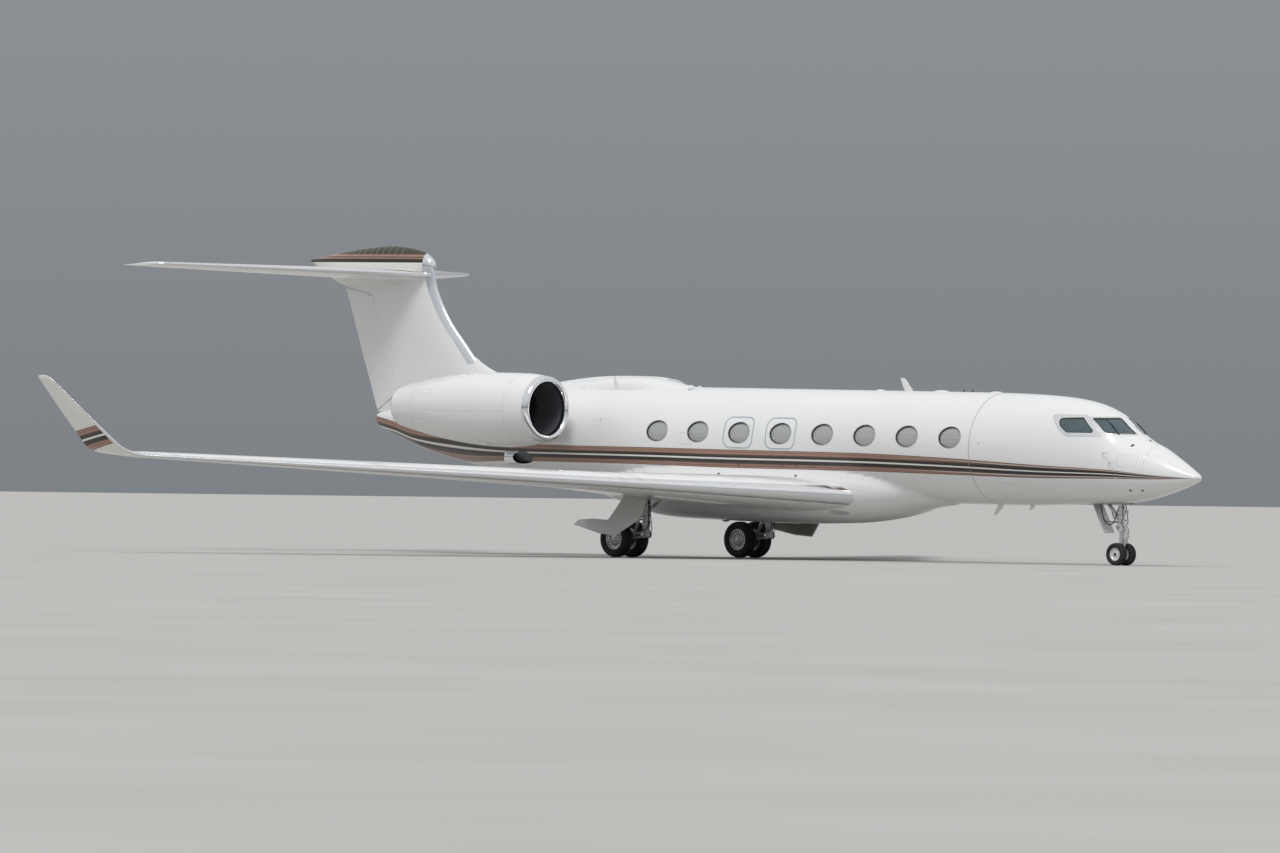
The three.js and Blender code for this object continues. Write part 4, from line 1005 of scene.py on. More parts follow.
def make_barrel():
    """The hull from the nose section to the tail's end, with a blind pocket for each window."""
    stations = np.concatenate([np.arange(NOSE_END + 0.0004, 26.0, 0.08),
                               np.linspace(26.0, TAIL_END, 24)])
    outlines = [window_outline(n, 0, side) for side in (1, -1) for n in range(WINDOW["count"])]
    station, angle, faces, rims = trimmed(stations, angle_grid(), outlines)
    points = [hull_point(station, angle)]
    shades, start = [0] * len(faces), len(station)
    for rim in rims:
        rim = np.array(rim)
        if signed_area(np.stack([station[rim], angle[rim]], axis=-1)) < 0:
            rim = rim[::-1]
        points.append(hull_point(station[rim], angle[rim], -WINDOW["deep"]))
        below = start + np.arange(len(rim))
        walls = np.stack([rim, np.roll(rim, -1), np.roll(below, -1), below], axis=-1)
        faces += [*walls.tolist(), below.tolist()]
        # Pocket walls and floor take the near-black dark finish: painted shade in the window's reveal.
        shades += [1] * (len(rim) + 1)
        start += len(rim)
    ends = np.flatnonzero(np.abs(station - TAIL_END) < 1e-9).tolist()
    points = np.concatenate(points)
    # The tail's end face is near-black too: painted shade for the exhaust opening.
    made = piece("barrel_skin", points, [*faces, list(range(AROUND)), ends[::-1]], "striped dark",
                 "airframe", "fuselage belly_fairing crown_fairing",
                 [*shades, 0, 1])
    give_stripes(made, points)


# Lifting surfaces

def half_thickness(share, ratio):
    """Half thickness of a section, as a share of its chord: a round nose that runs out to a thin
    straight tail."""
    root = 0.2969 * np.sqrt(share)
    body = -0.126 * share - 0.3516 * share**2 + 0.2843 * share**3 - 0.1015 * share**4
    return 5 * ratio * (root + body) + 0.0008 * share


def surface(table, camber=0):
    """A lifting surface's skin and chord, as functions of the span. A section hangs from its
    leading edge, twisted and tilted, and has an upper side, 1, and an under side, -1."""
    skin = lambda span, share, side: section_point(
        np.moveaxis(straight_at(table, span), -1, 0), span, share, side, camber)
    return skin, lambda span: straight_at(table, span)[..., 2]


def section_point(row, span, share, side, camber):
    """A level point of a section, from its row of the table."""
    _, lead, chord, height, ratio, twist, tilt = row
    lean = np.radians(tilt)
    rise = (-share * chord * np.tan(np.radians(twist)) + camber * chord * np.sin(np.pi * share)
            + side * half_thickness(share, ratio) * chord)
    return np.stack([NOSE_X - lead - share * chord, span - np.sin(lean) * rise,
                     height + np.cos(lean) * rise], axis=-1)


def fin_point(height, share, side):
    """A level point of the fin's skin, on its port side, 1, or its starboard side, -1."""
    _, lead, chord, ratio = np.moveaxis(smooth_at(FIN, height), -1, 0)
    return np.stack([NOSE_X - lead - share * chord, side * half_thickness(share, ratio) * chord,
                     height + 0 * share], axis=-1)


class Hinge:
    """A control surface's hinge line on a lifting surface: its ends, its nose's radius at each,
    and the sweep that stretches a round nose along the stream."""

    def __init__(self, skin, spans, shares, low):
        """Lays the line through two points of the surface, in mid-thickness or low down."""
        self.spans, self.shares, self.low = spans, shares, low
        upper, lower = (np.array([skin(np.array(s), np.array(c), side)
                                  for s, c in zip(spans, shares)]) for side in (1, -1))
        self.axis = 2 if abs(upper[0][2] - lower[0][2]) > abs(upper[0][1] - lower[0][1]) else 1
        thick = upper[:, self.axis] - lower[:, self.axis]
        self.below = np.full(2, LOW_HINGE) if low else thick / 2
        self.ends = lower.copy()
        self.ends[:, self.axis] += self.below
        self.radii = thick - self.below - NOSE_STEP
        run = self.ends[1] - self.ends[0]
        self.lean = abs(run[0] / run[3 - self.axis])
        self.stretch = math.hypot(1, self.lean)

    def mix(self, ends, span):
        """A value at a span, between its values at the hinge's two ends."""
        t = (span - self.spans[0]) / (self.spans[1] - self.spans[0])
        return ends[0] + (ends[1] - ends[0]) * t

    def share(self, span):
        """The chord share at which the hinge lies at a span."""
        return np.interp(span, self.spans, self.shares)

    def leans(self, spec):
        """How the two ends of the surface lean: square to the hinge, or along the stream."""
        return [-self.lean if square else 0.0 for square in spec["square"]]

    def arc(self, span, radius, turn):
        """Points about the hinge line at angles, with their radius stretched along the stream."""
        points = np.empty((*turn.shape, 3))
        points[..., 0] = self.mix(self.ends[:, 0], span) - radius * self.stretch * np.cos(turn)
        points[..., self.axis] = self.mix(self.ends[:, self.axis], span) + radius * np.sin(turn)
        points[..., 3 - self.axis] = span + 0 * turn
        return points


def both_sides(count):
    """Chord shares from the tail over the top to the nose, and back underneath, crowded at the
    nose."""
    shares = np.linspace(0, 1, count) ** 2
    return shares[::-1], shares[1:]


def leant(skin, base, skew, share0, chord):
    """A skin whose spans lean by a skew behind a chord share."""
    return lambda share, side: skin(base + skew * np.maximum(share - share0, 0) * chord, share,
                                    side)


def control_rings(skin, hinge, start, end, skews, chord_of):
    """Rings of a control surface: the upper skin from its tail to over the hinge, a round nose
    about the hinge, and the under skin back to the tail. Ends may lean by a skew going aft."""
    base = np.linspace(start, end, 24)[:, None]
    skew = skews[0] + (skews[1] - skews[0]) * (base - start) / (end - start)
    radius, below = hinge.mix(hinge.radii, base), hinge.mix(hinge.below, base)
    share0, chord = hinge.share(base), chord_of(base)
    sink = np.minimum(below - 0.001, radius)
    forward = np.sqrt(np.maximum(radius**2 - sink**2, 0)) * hinge.stretch
    front_low = share0 - forward / chord
    last = np.pi + np.arcsin(np.clip(sink / radius, 0, 1))
    turn = np.pi / 2 + (last - np.pi / 2) * (np.arange(1, 12)[None] / 12)
    t = np.linspace(0, 1, 18)[None]
    skin_at = leant(skin, base, skew, share0, chord)
    return np.concatenate([skin_at(1 - (1 - share0) * t, 1), hinge.arc(base, radius, turn),
                           skin_at(front_low + (1 - front_low) * t, -1)], axis=1)


def slot_rings(skin, hinge, base, chord, uppers, lowers, across):
    """Rings of the fixed surface ahead of a control surface: skins to its lips, and between the
    lips a hollow round slot that clears the moving nose."""
    radius, below = hinge.mix(hinge.radii, base), hinge.mix(hinge.below, base)
    gap = radius + SWING
    lip = np.sqrt(np.maximum(gap**2 - (radius + 0.002) ** 2, 0))
    lip = np.maximum(lip, 0.03 if hinge.low else 0.42 * hinge.radii.max() + 0.006)
    under = np.maximum(np.sqrt(np.maximum(gap**2 - below**2, 0)), lip) if hinge.low else lip
    share0 = hinge.share(base)
    top, bottom = (share0 - reach * hinge.stretch / chord for reach in (lip, under))
    first = np.pi / 2 + np.arcsin(np.clip(lip / gap, 0, 1))
    last = 1.5 * np.pi - np.arcsin(np.clip(under / gap, 0, 1))
    skins = fixed_skins(leant(skin, base, 0, share0, chord), top, bottom, uppers, lowers)
    return np.concatenate([skins, hinge.arc(base, gap, last + (first - last) * across)], axis=1)


SPLIT = 0.705  # chord share past which a fixed skin's columns spread out to its aft edge
def fixed_skins(skin_at, top, bottom, uppers, lowers):
    """The upper skin from its aft share to the leading edge, and the under skin back again. The
    given column shares up to the split stay, and those past it spread out to the aft share."""
    return np.concatenate([
        skin_at(np.minimum(columns, SPLIT)
                + np.maximum(columns - SPLIT, 0) / (1 - SPLIT) * (aft - SPLIT), side)
        for columns, aft, side in ((uppers, top, 1), (lowers, bottom, -1))], axis=1)


def fixed_surface(skin, chord_of, zones, uppers, lowers):
    """A fixed lifting surface with a notch for each control surface. A zone is (from, to, rows,
    hinge or None, skews at its two ends, hinge shares there). Neighbouring zones share their
    end's span, so that the notch's end walls close."""
    rings, across = [], np.arange(1, 10) / 10
    for start, end, rows, hinge, skews, shares in zones:
        base = (np.linspace(start, end, rows) if np.isscalar(rows) else rows)[:, None]
        chord = chord_of(base)
        if hinge is not None:
            rings.append(slot_rings(skin, hinge, base, chord, uppers, lowers, across))
            continue
        t = (base - start) / (end - start)
        skew, share0 = (ends[0] + (ends[1] - ends[0]) * t for ends in (skews, shares))
        skins = fixed_skins(leant(skin, base, skew, share0, chord), 1.0, 1.0, uppers, lowers)
        a, b = skins[:, -1:], skins[:, :1]
        rings.append(np.concatenate([skins, a + (b - a) * across[None, :, None]], axis=1))
    return np.concatenate(rings)


def wing_zones(surfaces, hinges, inner, outer):
    """Full zones between the control surfaces, and a notched one for each."""
    zones, at, skew, share = [], inner, 0.0, 0.72
    for name, spec in surfaces.items():
        start, lean = spec["from"] - spec["room"] + SWING, hinges[name].leans(spec)
        zones += [(at, start, 4, None, (skew, lean[0]), (share, spec["shares"][0])),
                  (start, spec["to"], spec.get("rows", 22), hinges[name], None, None)]
        at, skew, share = spec["to"], lean[1], spec["shares"][1]
    return [*zones, (at, outer, 4, None, (skew, 0.0), (share, share))]


def edged_loft(name, rings, nose, reach, replaced, finish="white", bare=0):
    """A surface's skin, polished some columns to either side of its leading edge, except on its
    first rows."""
    strip = np.zeros(rings.shape[1], int)
    strip[nose - reach:nose + reach] = 1
    indices = np.tile(strip, len(rings) - 1)
    indices[:bare * len(strip)] = 0
    return loft(name, rings, finish + " polished", replaced, indices=[*indices, 0, 0])


def wing_columns():
    """Chord shares of the upper skin, tail to nose, and of the under skin, nose to tail, and which
    of the upper ones the spoiler covers."""
    front, back = SPOILER["front"] - SPOILER["room"], SPOILER["back"]
    nose = 0.3 * np.linspace(0, 1, 26) ** 2
    behind = [back + 0.0004, *np.linspace(0.705, 1.0, 10)]
    upper = np.concatenate([nose, np.linspace(0.3, front - 0.0004, 9)[1:],
                            np.linspace(front, back, 5), behind])[::-1]
    lower = np.concatenate([nose[1:], np.linspace(0.3, 0.7, 9)[1:], behind[1:]])
    return upper, lower, slice(len(behind), len(behind) + 5)


def make_wing(name, side):
    """A wing's fixed part: polished along its leading edge, notched for its control surfaces and
    sunk under its spoiler."""
    skin, chord_of = surface(WING, CAMBER)
    hinges = {key: Hinge(skin, (s["from"], s["to"]), s["shares"], s["low"])
              for key, s in FLAPS.items()}
    upper, lower, sunk = wing_columns()
    rings = fixed_surface(skin, chord_of, wing_zones(FLAPS, hinges, 1.001, 13.7598), upper, lower)
    covered = ((rings[:, 0, 1] > SPOILER["from"] - 1e-6) & (rings[:, 0, 1] < SPOILER["to"] + 1e-6))
    rings[covered, sunk, 2] -= SPOILER["depth"]
    edged_loft(f"{name}_wing_skin", to_parked(rings, side), len(upper) - 1, 9, f"{name}_wing")
    for key, spec in FLAPS.items():
        make_control(f"{name}_{key}", side, skin, chord_of, hinges[key], spec)
    make_spoiler(name, side, skin, chord_of)


def make_spoiler(name, side, skin, chord_of):
    """A spoiler: the wing's upper skin between its edges, given thickness."""
    gap, front, back = (SPOILER[key] for key in ("gap", "front", "back"))
    span = np.linspace(SPOILER["from"] + gap, SPOILER["to"] - gap, 20)[:, None]
    inset = gap / chord_of(span)
    share = front + inset + (back - front - 2 * inset) * np.linspace(0, 1, 12)[None]
    top = skin(span, share, 1) + [0, 0, 0.001]
    low = top[:, ::-1] - [0, 0, SPOILER["thick"]]
    loft(f"{name}_spoiler_panel", to_parked(np.concatenate([top, low], axis=1), side),
         replaced=f"{name}_spoiler", body=f"{name}_spoiler")


def make_control(name, side, skin, chord_of, hinge, spec):
    """One flap, aileron or elevator, riding on its own body."""
    rings = control_rings(skin, hinge, spec["from"] + SWING, spec["to"] - SWING,
                          hinge.leans(spec), chord_of)
    loft(f"{name}_skin", to_parked(rings, side), replaced=name, body=name)


def smooth_rows(table, count):
    """Rows of a table on a smooth curve through them, evenly spaced by the distance from row to
    row in span, station and height."""
    table = np.asarray(table, float)
    step = np.linalg.norm(np.diff(table[:, [0, 1, 3]], axis=0), axis=1)
    run = np.concatenate([[0], np.cumsum(step)])
    keyed = np.concatenate([run[:, None], table], axis=1)
    return smooth_at(keyed, np.linspace(0, run[-1], count))[:, 1:]


WINGLET_BAND = (2.52, 2.94)
def make_winglet(name, side):
    """A winglet: the wing's section carried up its curve, polished along its leading edge, with
    stripes across its lower third."""
    columns = np.moveaxis(smooth_rows(WINGLET, 44)[:, None, :], -1, 0)
    rings = np.concatenate([section_point(columns, columns[0], shares[None], which, CAMBER)
                            for shares, which in zip(both_sides(30), (1, -1))], axis=1)
    made = edged_loft(f"{name}_winglet_skin", to_parked(rings, side), 29, 8, f"{name}_winglet",
                      "winglet")
    give_band(made, rings[..., 2] - 0.16 * (rings[..., 0] - rings[:, 29:30, 0]), *WINGLET_BAND)


def make_tailplane():
    """The tailplane's two halves in one piece, with a notch for each elevator."""
    skin, chord_of = surface(TAILPLANE)
    hinge = Hinge(skin, (ELEVATOR["from"], ELEVATOR["to"]), ELEVATOR["shares"], False)
    zones = wing_zones({"elevator": ELEVATOR}, {"elevator": hinge}, 0.0, 5.63)
    half = fixed_surface(skin, chord_of, zones, *both_sides(30))
    whole = np.concatenate([(half * [1, -1, 1])[:0:-1], half])
    edged_loft("tailplane_skin", to_parked(whole), 29, 7, "tailplane")
    pair(lambda name, side: make_control(f"{name}_elevator", side, skin, chord_of, hinge,
                                         ELEVATOR))


def make_fin():
    """The fin, polished along its leading edge and notched for the rudder, and the rudder."""
    chord_of = lambda height: smooth_at(FIN, height)[..., 2]
    shares = tuple(float((station - smooth_at(FIN, height)[1]) / chord_of(height))
                   for height, station in (RUDDER["low"], RUDDER["high"]))
    hinge = Hinge(fin_point, (RUDDER["low"][0], RUDDER["high"][0]), shares, False)
    low, high = RUDDER["skews"]
    zones = [(3.40, 3.971, 8, None, (0, low), (shares[0], shares[0])),
             (3.971, 6.372, 30, hinge, None, None),
             (6.372, 7.0, 12, None, (high, 0), (shares[1], shares[1]))]
    rings = fixed_surface(fin_point, chord_of, zones, *both_sides(34))
    edged_loft("fin_skin", to_parked(rings), 33, 9, "fin", bare=16)
    rings = control_rings(fin_point, hinge, 4.001, 6.309, (low, high), chord_of)
    loft("rudder_skin", to_parked(rings), replaced="rudder", body="rudder")


def make_cap():
    """The cap on the fin, with its level stripes, a dark top with pale cross strips, and a
    polished nose: upright superellipse rings along it."""
    station = CAP[0][0] + (CAP[-1][0] - CAP[0][0]) * np.linspace(0, 1, 110) ** 1.2
    _, top, bottom, half, waist, square = (column[:, None] for column
                                           in np.moveaxis(smooth_at(CAP, station), -1, 0))
    c, s = np.cos(circle(72)), np.sin(circle(72))
    y = half * np.sign(c) * np.abs(c) ** (2 / square)
    reach = np.where(s > 0, top - waist, waist - bottom)
    z = waist + reach * np.sign(s) * np.abs(s) ** (2 / square)
    rings = np.stack([NOSE_X - station[:, None] + 0 * c, y, z], axis=-1)
    shade = np.repeat((station[:-1] < CAP_NOSE) * 1, 72)
    made = loft("fin_cap_skin", to_parked(rings), "cap polished", "fin_cap",
                indices=[*shade, 1, 0])
    give_band(made, z, *CAP_BAND)
    strips = [fin_cap_strip(at) for at in np.linspace(*CAP_STRIPS, 9)]
    assembly("fin_cap_strips", strips)


def fin_cap_strip(station):
    """A pale strip across the cap's dark top, as a thin raised band a little aslant."""
    angle = np.linspace(0.16 * np.pi, 0.84 * np.pi, 40)[:, None]
    shift, lift = np.array([-0.008, -0.008, 0.008, 0.008]), np.array([-4, 2, 2, -4]) * 0.001
    at = station + shift + 0.05 * np.abs(np.cos(angle))
    _, top, _, half, waist, _ = np.moveaxis(smooth_at(CAP, at), -1, 0)
    return part(to_parked(np.stack([NOSE_X - at, (half + lift) * np.cos(angle),
                                    waist + (top - waist + lift) * np.sin(angle)], axis=-1)),
                "strip")


# Engines

def engine_point(x, radius, angle):
    """A parked point of the port engine, at a radius and an angle about its axis."""
    return to_parked(np.stack(np.broadcast_arrays(
        x, ENGINE["out"] + radius * np.cos(angle), ENGINE["height"] + radius * np.sin(angle)),
        axis=-1))


def swelled(top, bottom, angle):
    """A radius that goes over to its bottom value with the square of the depth."""
    s = np.sin(angle)
    return top + (bottom - top) * np.where(s < 0, s * s, 0)


def engine_ring(station, top, bottom):
    """Parked rings about the engine's axis."""
    radius = swelled(top[:, None], bottom[:, None], circle(96))
    return engine_point(NOSE_X - station[:, None], radius, circle(96))


def make_engine(name, side):
    """One engine's polished lip, and its cowl with the duct through it."""
    turn = np.linspace(math.pi / 2, -math.pi / 2, 28)
    seam, throat = COWL[0][0] - 0.0015, DUCT[0][1]
    out = np.where(turn > 0, COWL[0][1] - LIP_NOSE, LIP_NOSE - throat)
    radius = LIP_NOSE + out * np.sin(turn)
    extra = np.where(turn > 0, (COWL[0][2] - COWL[0][1]) * np.sin(turn), 0)
    rings = engine_ring(seam - (seam - ENGINE["lip"]) * np.cos(turn), radius, radius + extra)
    loft(f"{name}_intake_lip_ring", rings * [1, side, 1], "chrome", f"{name}_intake_lip",
         looped=True)

    station = np.linspace(COWL[0][0], ENGINE["exit"], 70)
    _, top, bottom = np.moveaxis(smooth_at(COWL, station), -1, 0)
    inner = smooth_at(DUCT, station[::-1])[:, 1]
    rings = np.concatenate([engine_ring(station, top, bottom),
                            engine_ring(station[::-1], inner, inner)])
    loft(f"{name}_cowl_skin", rings * [1, side, 1], "white liner", f"{name}_cowl", looped=True,
         indices=np.repeat([0] * 69 + [1] * 71, 96))


# Panes, rings and lines on the skin

def skin_patch(outline, lift, thick, finish, inner=None):
    """The hull's own skin inside an outline, lifted off it and given thickness, as a part. The
    inner face may have its own finish."""
    low, high = outline.min(0) - 0.06, outline.max(0) + 0.09
    station, angle, faces, rims = trimmed(np.arange(low[0], high[0], 0.03),
                                          np.arange(low[1], high[1], 0.025), [outline], True, False)
    n, rim = len(station), np.array(rims[0])
    ahead = np.roll(rim, -1)
    walls = np.stack([rim, ahead, ahead + n, rim + n], axis=-1)
    walls = walls if signed_area(outline) < 0 else walls[:, ::-1]
    back = [[v + n for v in face[::-1]] for face in faces]
    points = np.concatenate([hull_point(station, angle, lift),
                             hull_point(station, angle, lift - thick)])
    keys = [finish] * len(faces) + [inner or finish] * (len(back) + len(walls))
    return points, faces + back + walls.tolist(), keys


def outline_ring(inner, outer, low, high, finish, across=2):
    """A raised ring on the skin between two outlines with equally many points, as a part."""
    t = np.linspace(0, 1, across)[None, :, None]
    flat = inner[:, None] * (1 - t) + outer[:, None] * t
    flat = np.concatenate([flat, flat[:, ::-1]], axis=1)
    return part(hull_point(flat[..., 0], flat[..., 1], np.repeat([high, low], across)[None]),
                finish, True)


def skin_line(path, width, looped=True, point=None, scale=SCALE):
    """A thin raised seam along a path of stations and angles on a skin, as a part."""
    flat = path * [1, scale]
    ahead = unit(np.roll(flat, -1, 0) - np.roll(flat, 1, 0) if looped
                 else np.gradient(flat, axis=0))
    across = np.stack([ahead[:, 1], -ahead[:, 0]], axis=-1) / [1, scale]
    at = path[:, None] + across[:, None] * (np.array([-1, -1, 1, 1]) * width / 2)[None, :, None]
    lift = np.array([-0.004, 0.0012, 0.0012, -0.004])[None]
    return part((point or hull_point)(at[..., 0], at[..., 1], lift), "seam", looped)


def skin_disc(station, height, side, radius, lift, finish, long=1.0):
    """A low domed disc on the side of the hull, as a part."""
    share = np.array([1.0, 1.0, 0.9, 0.5, 0.06])[:, None]
    high = lift * np.array([-1.5, 0.5, 0.8, 1.0, 1.0])[:, None]
    at = station + long * radius * share * np.cos(circle(24))
    angle = angle_at_height(at, height + radius * share * np.sin(circle(24)), side)
    return part(hull_point(at, angle, high), finish)


def crown_dome(station, long, wide, high, finish, middle=np.pi / 2):
    """A smooth low dome on the skin about an angle, as a part: half an ellipsoid."""
    share = np.array([1.0, 1.0, 0.96, 0.85, 0.65, 0.4, 0.05])[:, None]
    lift = high * np.sqrt(1 - np.minimum(share, 1) ** 2)
    lift[0] = -0.012
    return part(hull_point(station + long / 2 * share * np.cos(circle(32)),
                           middle + wide / 2 / SCALE * share * np.sin(circle(32)), lift), finish)


def blade(front, back, tip_front, tip_back, thick, finish="white", y=0.0):
    """A swept blade between four (station, height) corners, lens-shaped in section and thinning
    to its rounded tip, as a part."""
    t = np.linspace(0, 1, 12)[:, None] ** 0.7
    turn = circle(28)
    a = np.array(front) * (1 - t) + np.array(tip_front) * t
    b = np.array(back) * (1 - t) + np.array(tip_back) * t
    round_off = np.sqrt(np.maximum(1 - t**8, 0.02))
    share = 0.5 - 0.5 * np.cos(turn) * (0.6 + 0.4 * round_off)
    line = a[:, None] + (b - a)[:, None] * share[..., None]
    wide = thick / 2 * np.sin(turn) * (1 - 0.5 * t) * round_off
    return part(to_parked(np.stack([NOSE_X - line[..., 0], y + wide, line[..., 1]], axis=-1)),
                finish)


def make_panes(name, side):
    """One side's windshield and side window: glass, black seals and polished frames."""
    for kind, shape, border, outline_of in (
            ("windshield", FRONT_PANE, FRONT_FRAME, front_outline),
            ("side_window", SIDE_PANE, SIDE_FRAME, side_outline)):
        pane = skin_patch(outline_of(shape, -0.003, side), -0.006, 0.012, "glass")
        assembly(f"{name}_{kind}_pane", [pane], replaced=f"{name}_{kind}")
        line = lambda margin, of=shape: outline_of(of, margin, side, False)
        seal = outline_ring(line(-0.013), line(0.006), -0.016, 0.006, "seal")
        rim = outline_ring(line(0.006), line(0, border), -0.012, 0.009, "polished", 10)
        assembly(f"{name}_{kind}_frame", [seal, rim])


def make_wiper(name, side):
    """A wiper parked up its windshield: a thin arm over a blade, and its pivot."""
    t = np.linspace(0, 1, 24)
    station, angle = station_at_front(0.515 - 0.045 * t, 3.235 + 0.350 * t)
    angle = angle if side > 0 else -np.pi - angle
    bow = 0.016 + 0.006 * np.sin(np.pi * t[:17])
    parts = [tube(hull_point(station, angle, 0.006), 0.006, "rubber", 10),
             tube(hull_point(station[:17], angle[:17], bow), 0.007, "seal", 10),
             tube(hull_point(station[:1], angle[:1], [-0.01, 0.02, 0.026]), [0.02, 0.02, 0.012],
                  "seal")]
    assembly(f"{name}_wiper", parts)


def make_windows(name, side):
    """One side's cabin windows: a pale crowned shade in each pocket, a bright ring round it, and
    the outlines of the two exits."""
    share = np.array([0.05, 1.0, 1.0, 0.92, 0.8, 0.6, 0.35, 0.05])
    lift = np.array([-0.070, -0.070, -0.050, -0.044, -0.040, -0.037, -0.035, -0.034])
    shades, rings, lines = [], [], []
    for n in range(WINDOW["count"]):
        at = np.stack([window_outline(n, -0.004, side, one) for one in share])
        shades.append(part(hull_point(at[..., 0], at[..., 1], lift[:, None]), "blind"))
        rings.append(outline_ring(window_outline(n, -0.001, side), window_outline(n, 0.013, side),
                                  -0.010, 0.003, "trim"))
    for corners in EXITS:
        inner, outer = (side_outline((oblong(*corners), 0.20), margin, side, False)
                        for margin in (-0.016, 0.016))
        lines.append(outline_ring(inner, outer, -0.004, 0.0014, "exit_line"))
    assembly(f"{name}_window_shades", shades)
    assembly(f"{name}_window_rings", rings)
    assembly(f"{name}_exit_outlines", lines)


def make_seams():
    """Panel seams of the hull: the ring over the nose section's end, and the outlines of its
    hatches."""
    ring = skin_line(np.stack([np.full(180, NOSE_END), angle_grid(180)], axis=-1), 0.007)
    hatches = [skin_line(side_outline((oblong(*corners), 0.05), 0, side), 0.006)
               for *corners, side in HATCHES]
    assembly("hull_ring_seam", [ring])
    assembly("hull_hatch_seams", hatches)


def parked_part(made):
    """A level part turned into the parked frame."""
    return to_parked(made[0]), *made[1:]


def make_fittings():
    """What stands on the hull: antennas, domes, probes, ports and lamps."""
    antennas = [
        blade((8.960, 4.140), (9.230, 4.140), (9.230, 4.469), (9.395, 4.469), 0.030),
        blade((5.985, 1.530), (6.205, 1.515), (6.240, 1.252), (6.357, 1.252), 0.028),
        blade((5.000, 1.560), (5.180, 1.545), (5.150, 1.400), (5.240, 1.400), 0.022),
        blade((18.11, 4.05), (18.27, 4.05), (18.28, 4.385), (18.35, 4.385), 0.022, y=-0.485),
        blade((7.070, 4.150), (7.115, 4.150), (7.080, 4.215), (7.105, 4.215), 0.016, "seal"),
        blade((7.330, 4.150), (7.375, 4.150), (7.340, 4.215), (7.365, 4.215), 0.016, "seal"),
    ]
    assembly("antennas", antennas)
    domes = [(8.070, 0.420, 0.260, 0.030, "white"), (10.010, 0.240, 0.160, 0.024, "white"),
             (15.910, 0.120, 0.090, 0.026, "white"), (16.190, 0.120, 0.090, 0.026, "white"),
             (6.340, 0.320, 0.220, 0.026, "white"), (1.560, 0.100, 0.060, 0.016, "seal"),
             (15.840, 0.180, 0.120, 0.035, "lens", np.pi / 2 - 2 * np.pi + 0.30),
             (15.840, 0.180, 0.120, 0.035, "lens", np.pi / 2 - 0.30),
             (14.950, 0.200, 0.140, 0.045, "lens", -np.pi / 2)]
    assembly("crown_domes", [crown_dome(*dome) for dome in domes])
    parts = []
    for side in (1, -1):
        parts += [skin_disc(at, height, side, *rest) for at, height, *rest in PORTS]
        for at, height in PROBES:
            root = hull_point(at, angle_at_height([at], [height], side), [-0.01, 0.05])
            tip = root[1] + [[0, 0, 0], [0.012, side * 0.012, 0], [0.19, side * 0.016, 0]]
            parts += [tube(root, [0.014, 0.010], "steel", 12),
                      tube(tip, [0.010, 0.011, 0.006], "steel", 12)]
    assembly("probes_and_ports", parts)
    ring = turned([[0.052, -0.020], [0.060, -0.020], [0.060, 0.030], [0.052, 0.030]],
                  (NOSE_X - TAIL_END, 0, 3.211), "hot", "x", 48, True)
    # The outlet disc is near-black: painted shade for the hollow of the exhaust pipe.
    outlet = turned([[0.002, 0.0], [0.052, 0.0], [0.052, 0.012], [0.002, 0.012]],
                    (NOSE_X - TAIL_END - 0.010, 0, 3.211), "dark", "x", 48)
    assembly("tail_exhaust", [parked_part(ring), parked_part(outlet)])


def make_scoop(name, side):
    """An air scoop low on the hull under the engine: a rounded pod whose skin runs from its blunt
    tail to an oblique mouth, over a bright lip and back into a throat painted near-black as shade."""
    quarter = np.linspace(0, np.pi / 2, 14)
    size = np.concatenate([0.05 + 0.95 * np.sin(quarter) ** 0.7, np.linspace(1.0, 0.92, 14),
                           [0.86, 0.80, 0.74, 0.70, 0.04]])[:, None]
    along = np.concatenate([1 - 0.30 * (1 - np.cos(quarter)), np.linspace(0.68, 0.0, 14),
                            [0.0, 0.02, 0.20, 0.60, 0.62]])[:, None]
    angle, height = circle(40), SCOOP["height"]
    station = SCOOP["front"] + (SCOOP["back"] - SCOOP["front"]) * (
        along + 0.62 * (1 - along) * (0.5 + 0.5 * np.cos(angle)))
    y = skin_y(station, height) + 0.02 + SCOOP["wide"] * size * np.cos(angle)
    z = height + SCOOP["tall"] / 2 * size * np.sin(angle)
    loft(f"{name}_scoop", to_parked(np.stack([NOSE_X - station, y, z], axis=-1), side),
         "chrome polished dark",
         indices=np.repeat([1] * 26 + [0] * 3 + [2] * 3, 40).tolist() + [1, 2])
    # A dark liner disc on the hull inside the mouth: partly the duct's own inside, partly painted
    # shade.
    floor = skin_disc(SCOOP["front"] + 0.43, height, side, 0.165, 0.008, "liner", 2.3)
    assembly(f"{name}_scoop_floor", [floor])


def make_entry_door():
    """The door with its stairs: the hull's skin inside the doorway, five steps and two rails."""
    middle = (DOOR["front"] + DOOR["back"]) / 2
    parts = [skin_patch(door_outline(-SWING), 0.0, SKIN, "striped", "lining")]
    swap = lambda rings: to_parked(rings[..., [0, 2, 1]])
    for n in range(5):
        x, z = NOSE_X - middle, DOOR["sill"] + 0.23 + 0.27 * n
        y = float(skin_y([middle], [z])[0]) - 0.045
        tread = rounded(oblong(x - 0.33, x + 0.33, y - 0.230, y), [0.03, 0.03, 0.004, 0.004])
        parts += [plate(tread, z, z + 0.030, "lining", 0.004, swap),
                  plate(grown(tread, -0.022), z + 0.028, z + 0.034, "deck", 0.002, swap)]
    z = np.linspace(DOOR["sill"] + 0.06, 3.40, 30)
    outer = skin_y(np.full(30, middle), z) - 0.035
    for x in (middle - 0.345, middle + 0.315):
        corners = [(x, outer), (x + 0.03, outer), (x + 0.03, outer - 0.155), (x, outer - 0.155)]
        rings = np.stack([np.stack([NOSE_X - a + 0 * z, b, z], axis=-1) for a, b in corners], axis=1)
        parts.append(part(to_parked(rings), "lining"))
    made = assembly("door_and_stairs", parts, 1, "entry_door", "entry_door")
    points = np.empty(len(made.data.vertices) * 3)
    made.data.vertices.foreach_get("co", points)
    give_stripes(made, points.reshape(-1, 3))


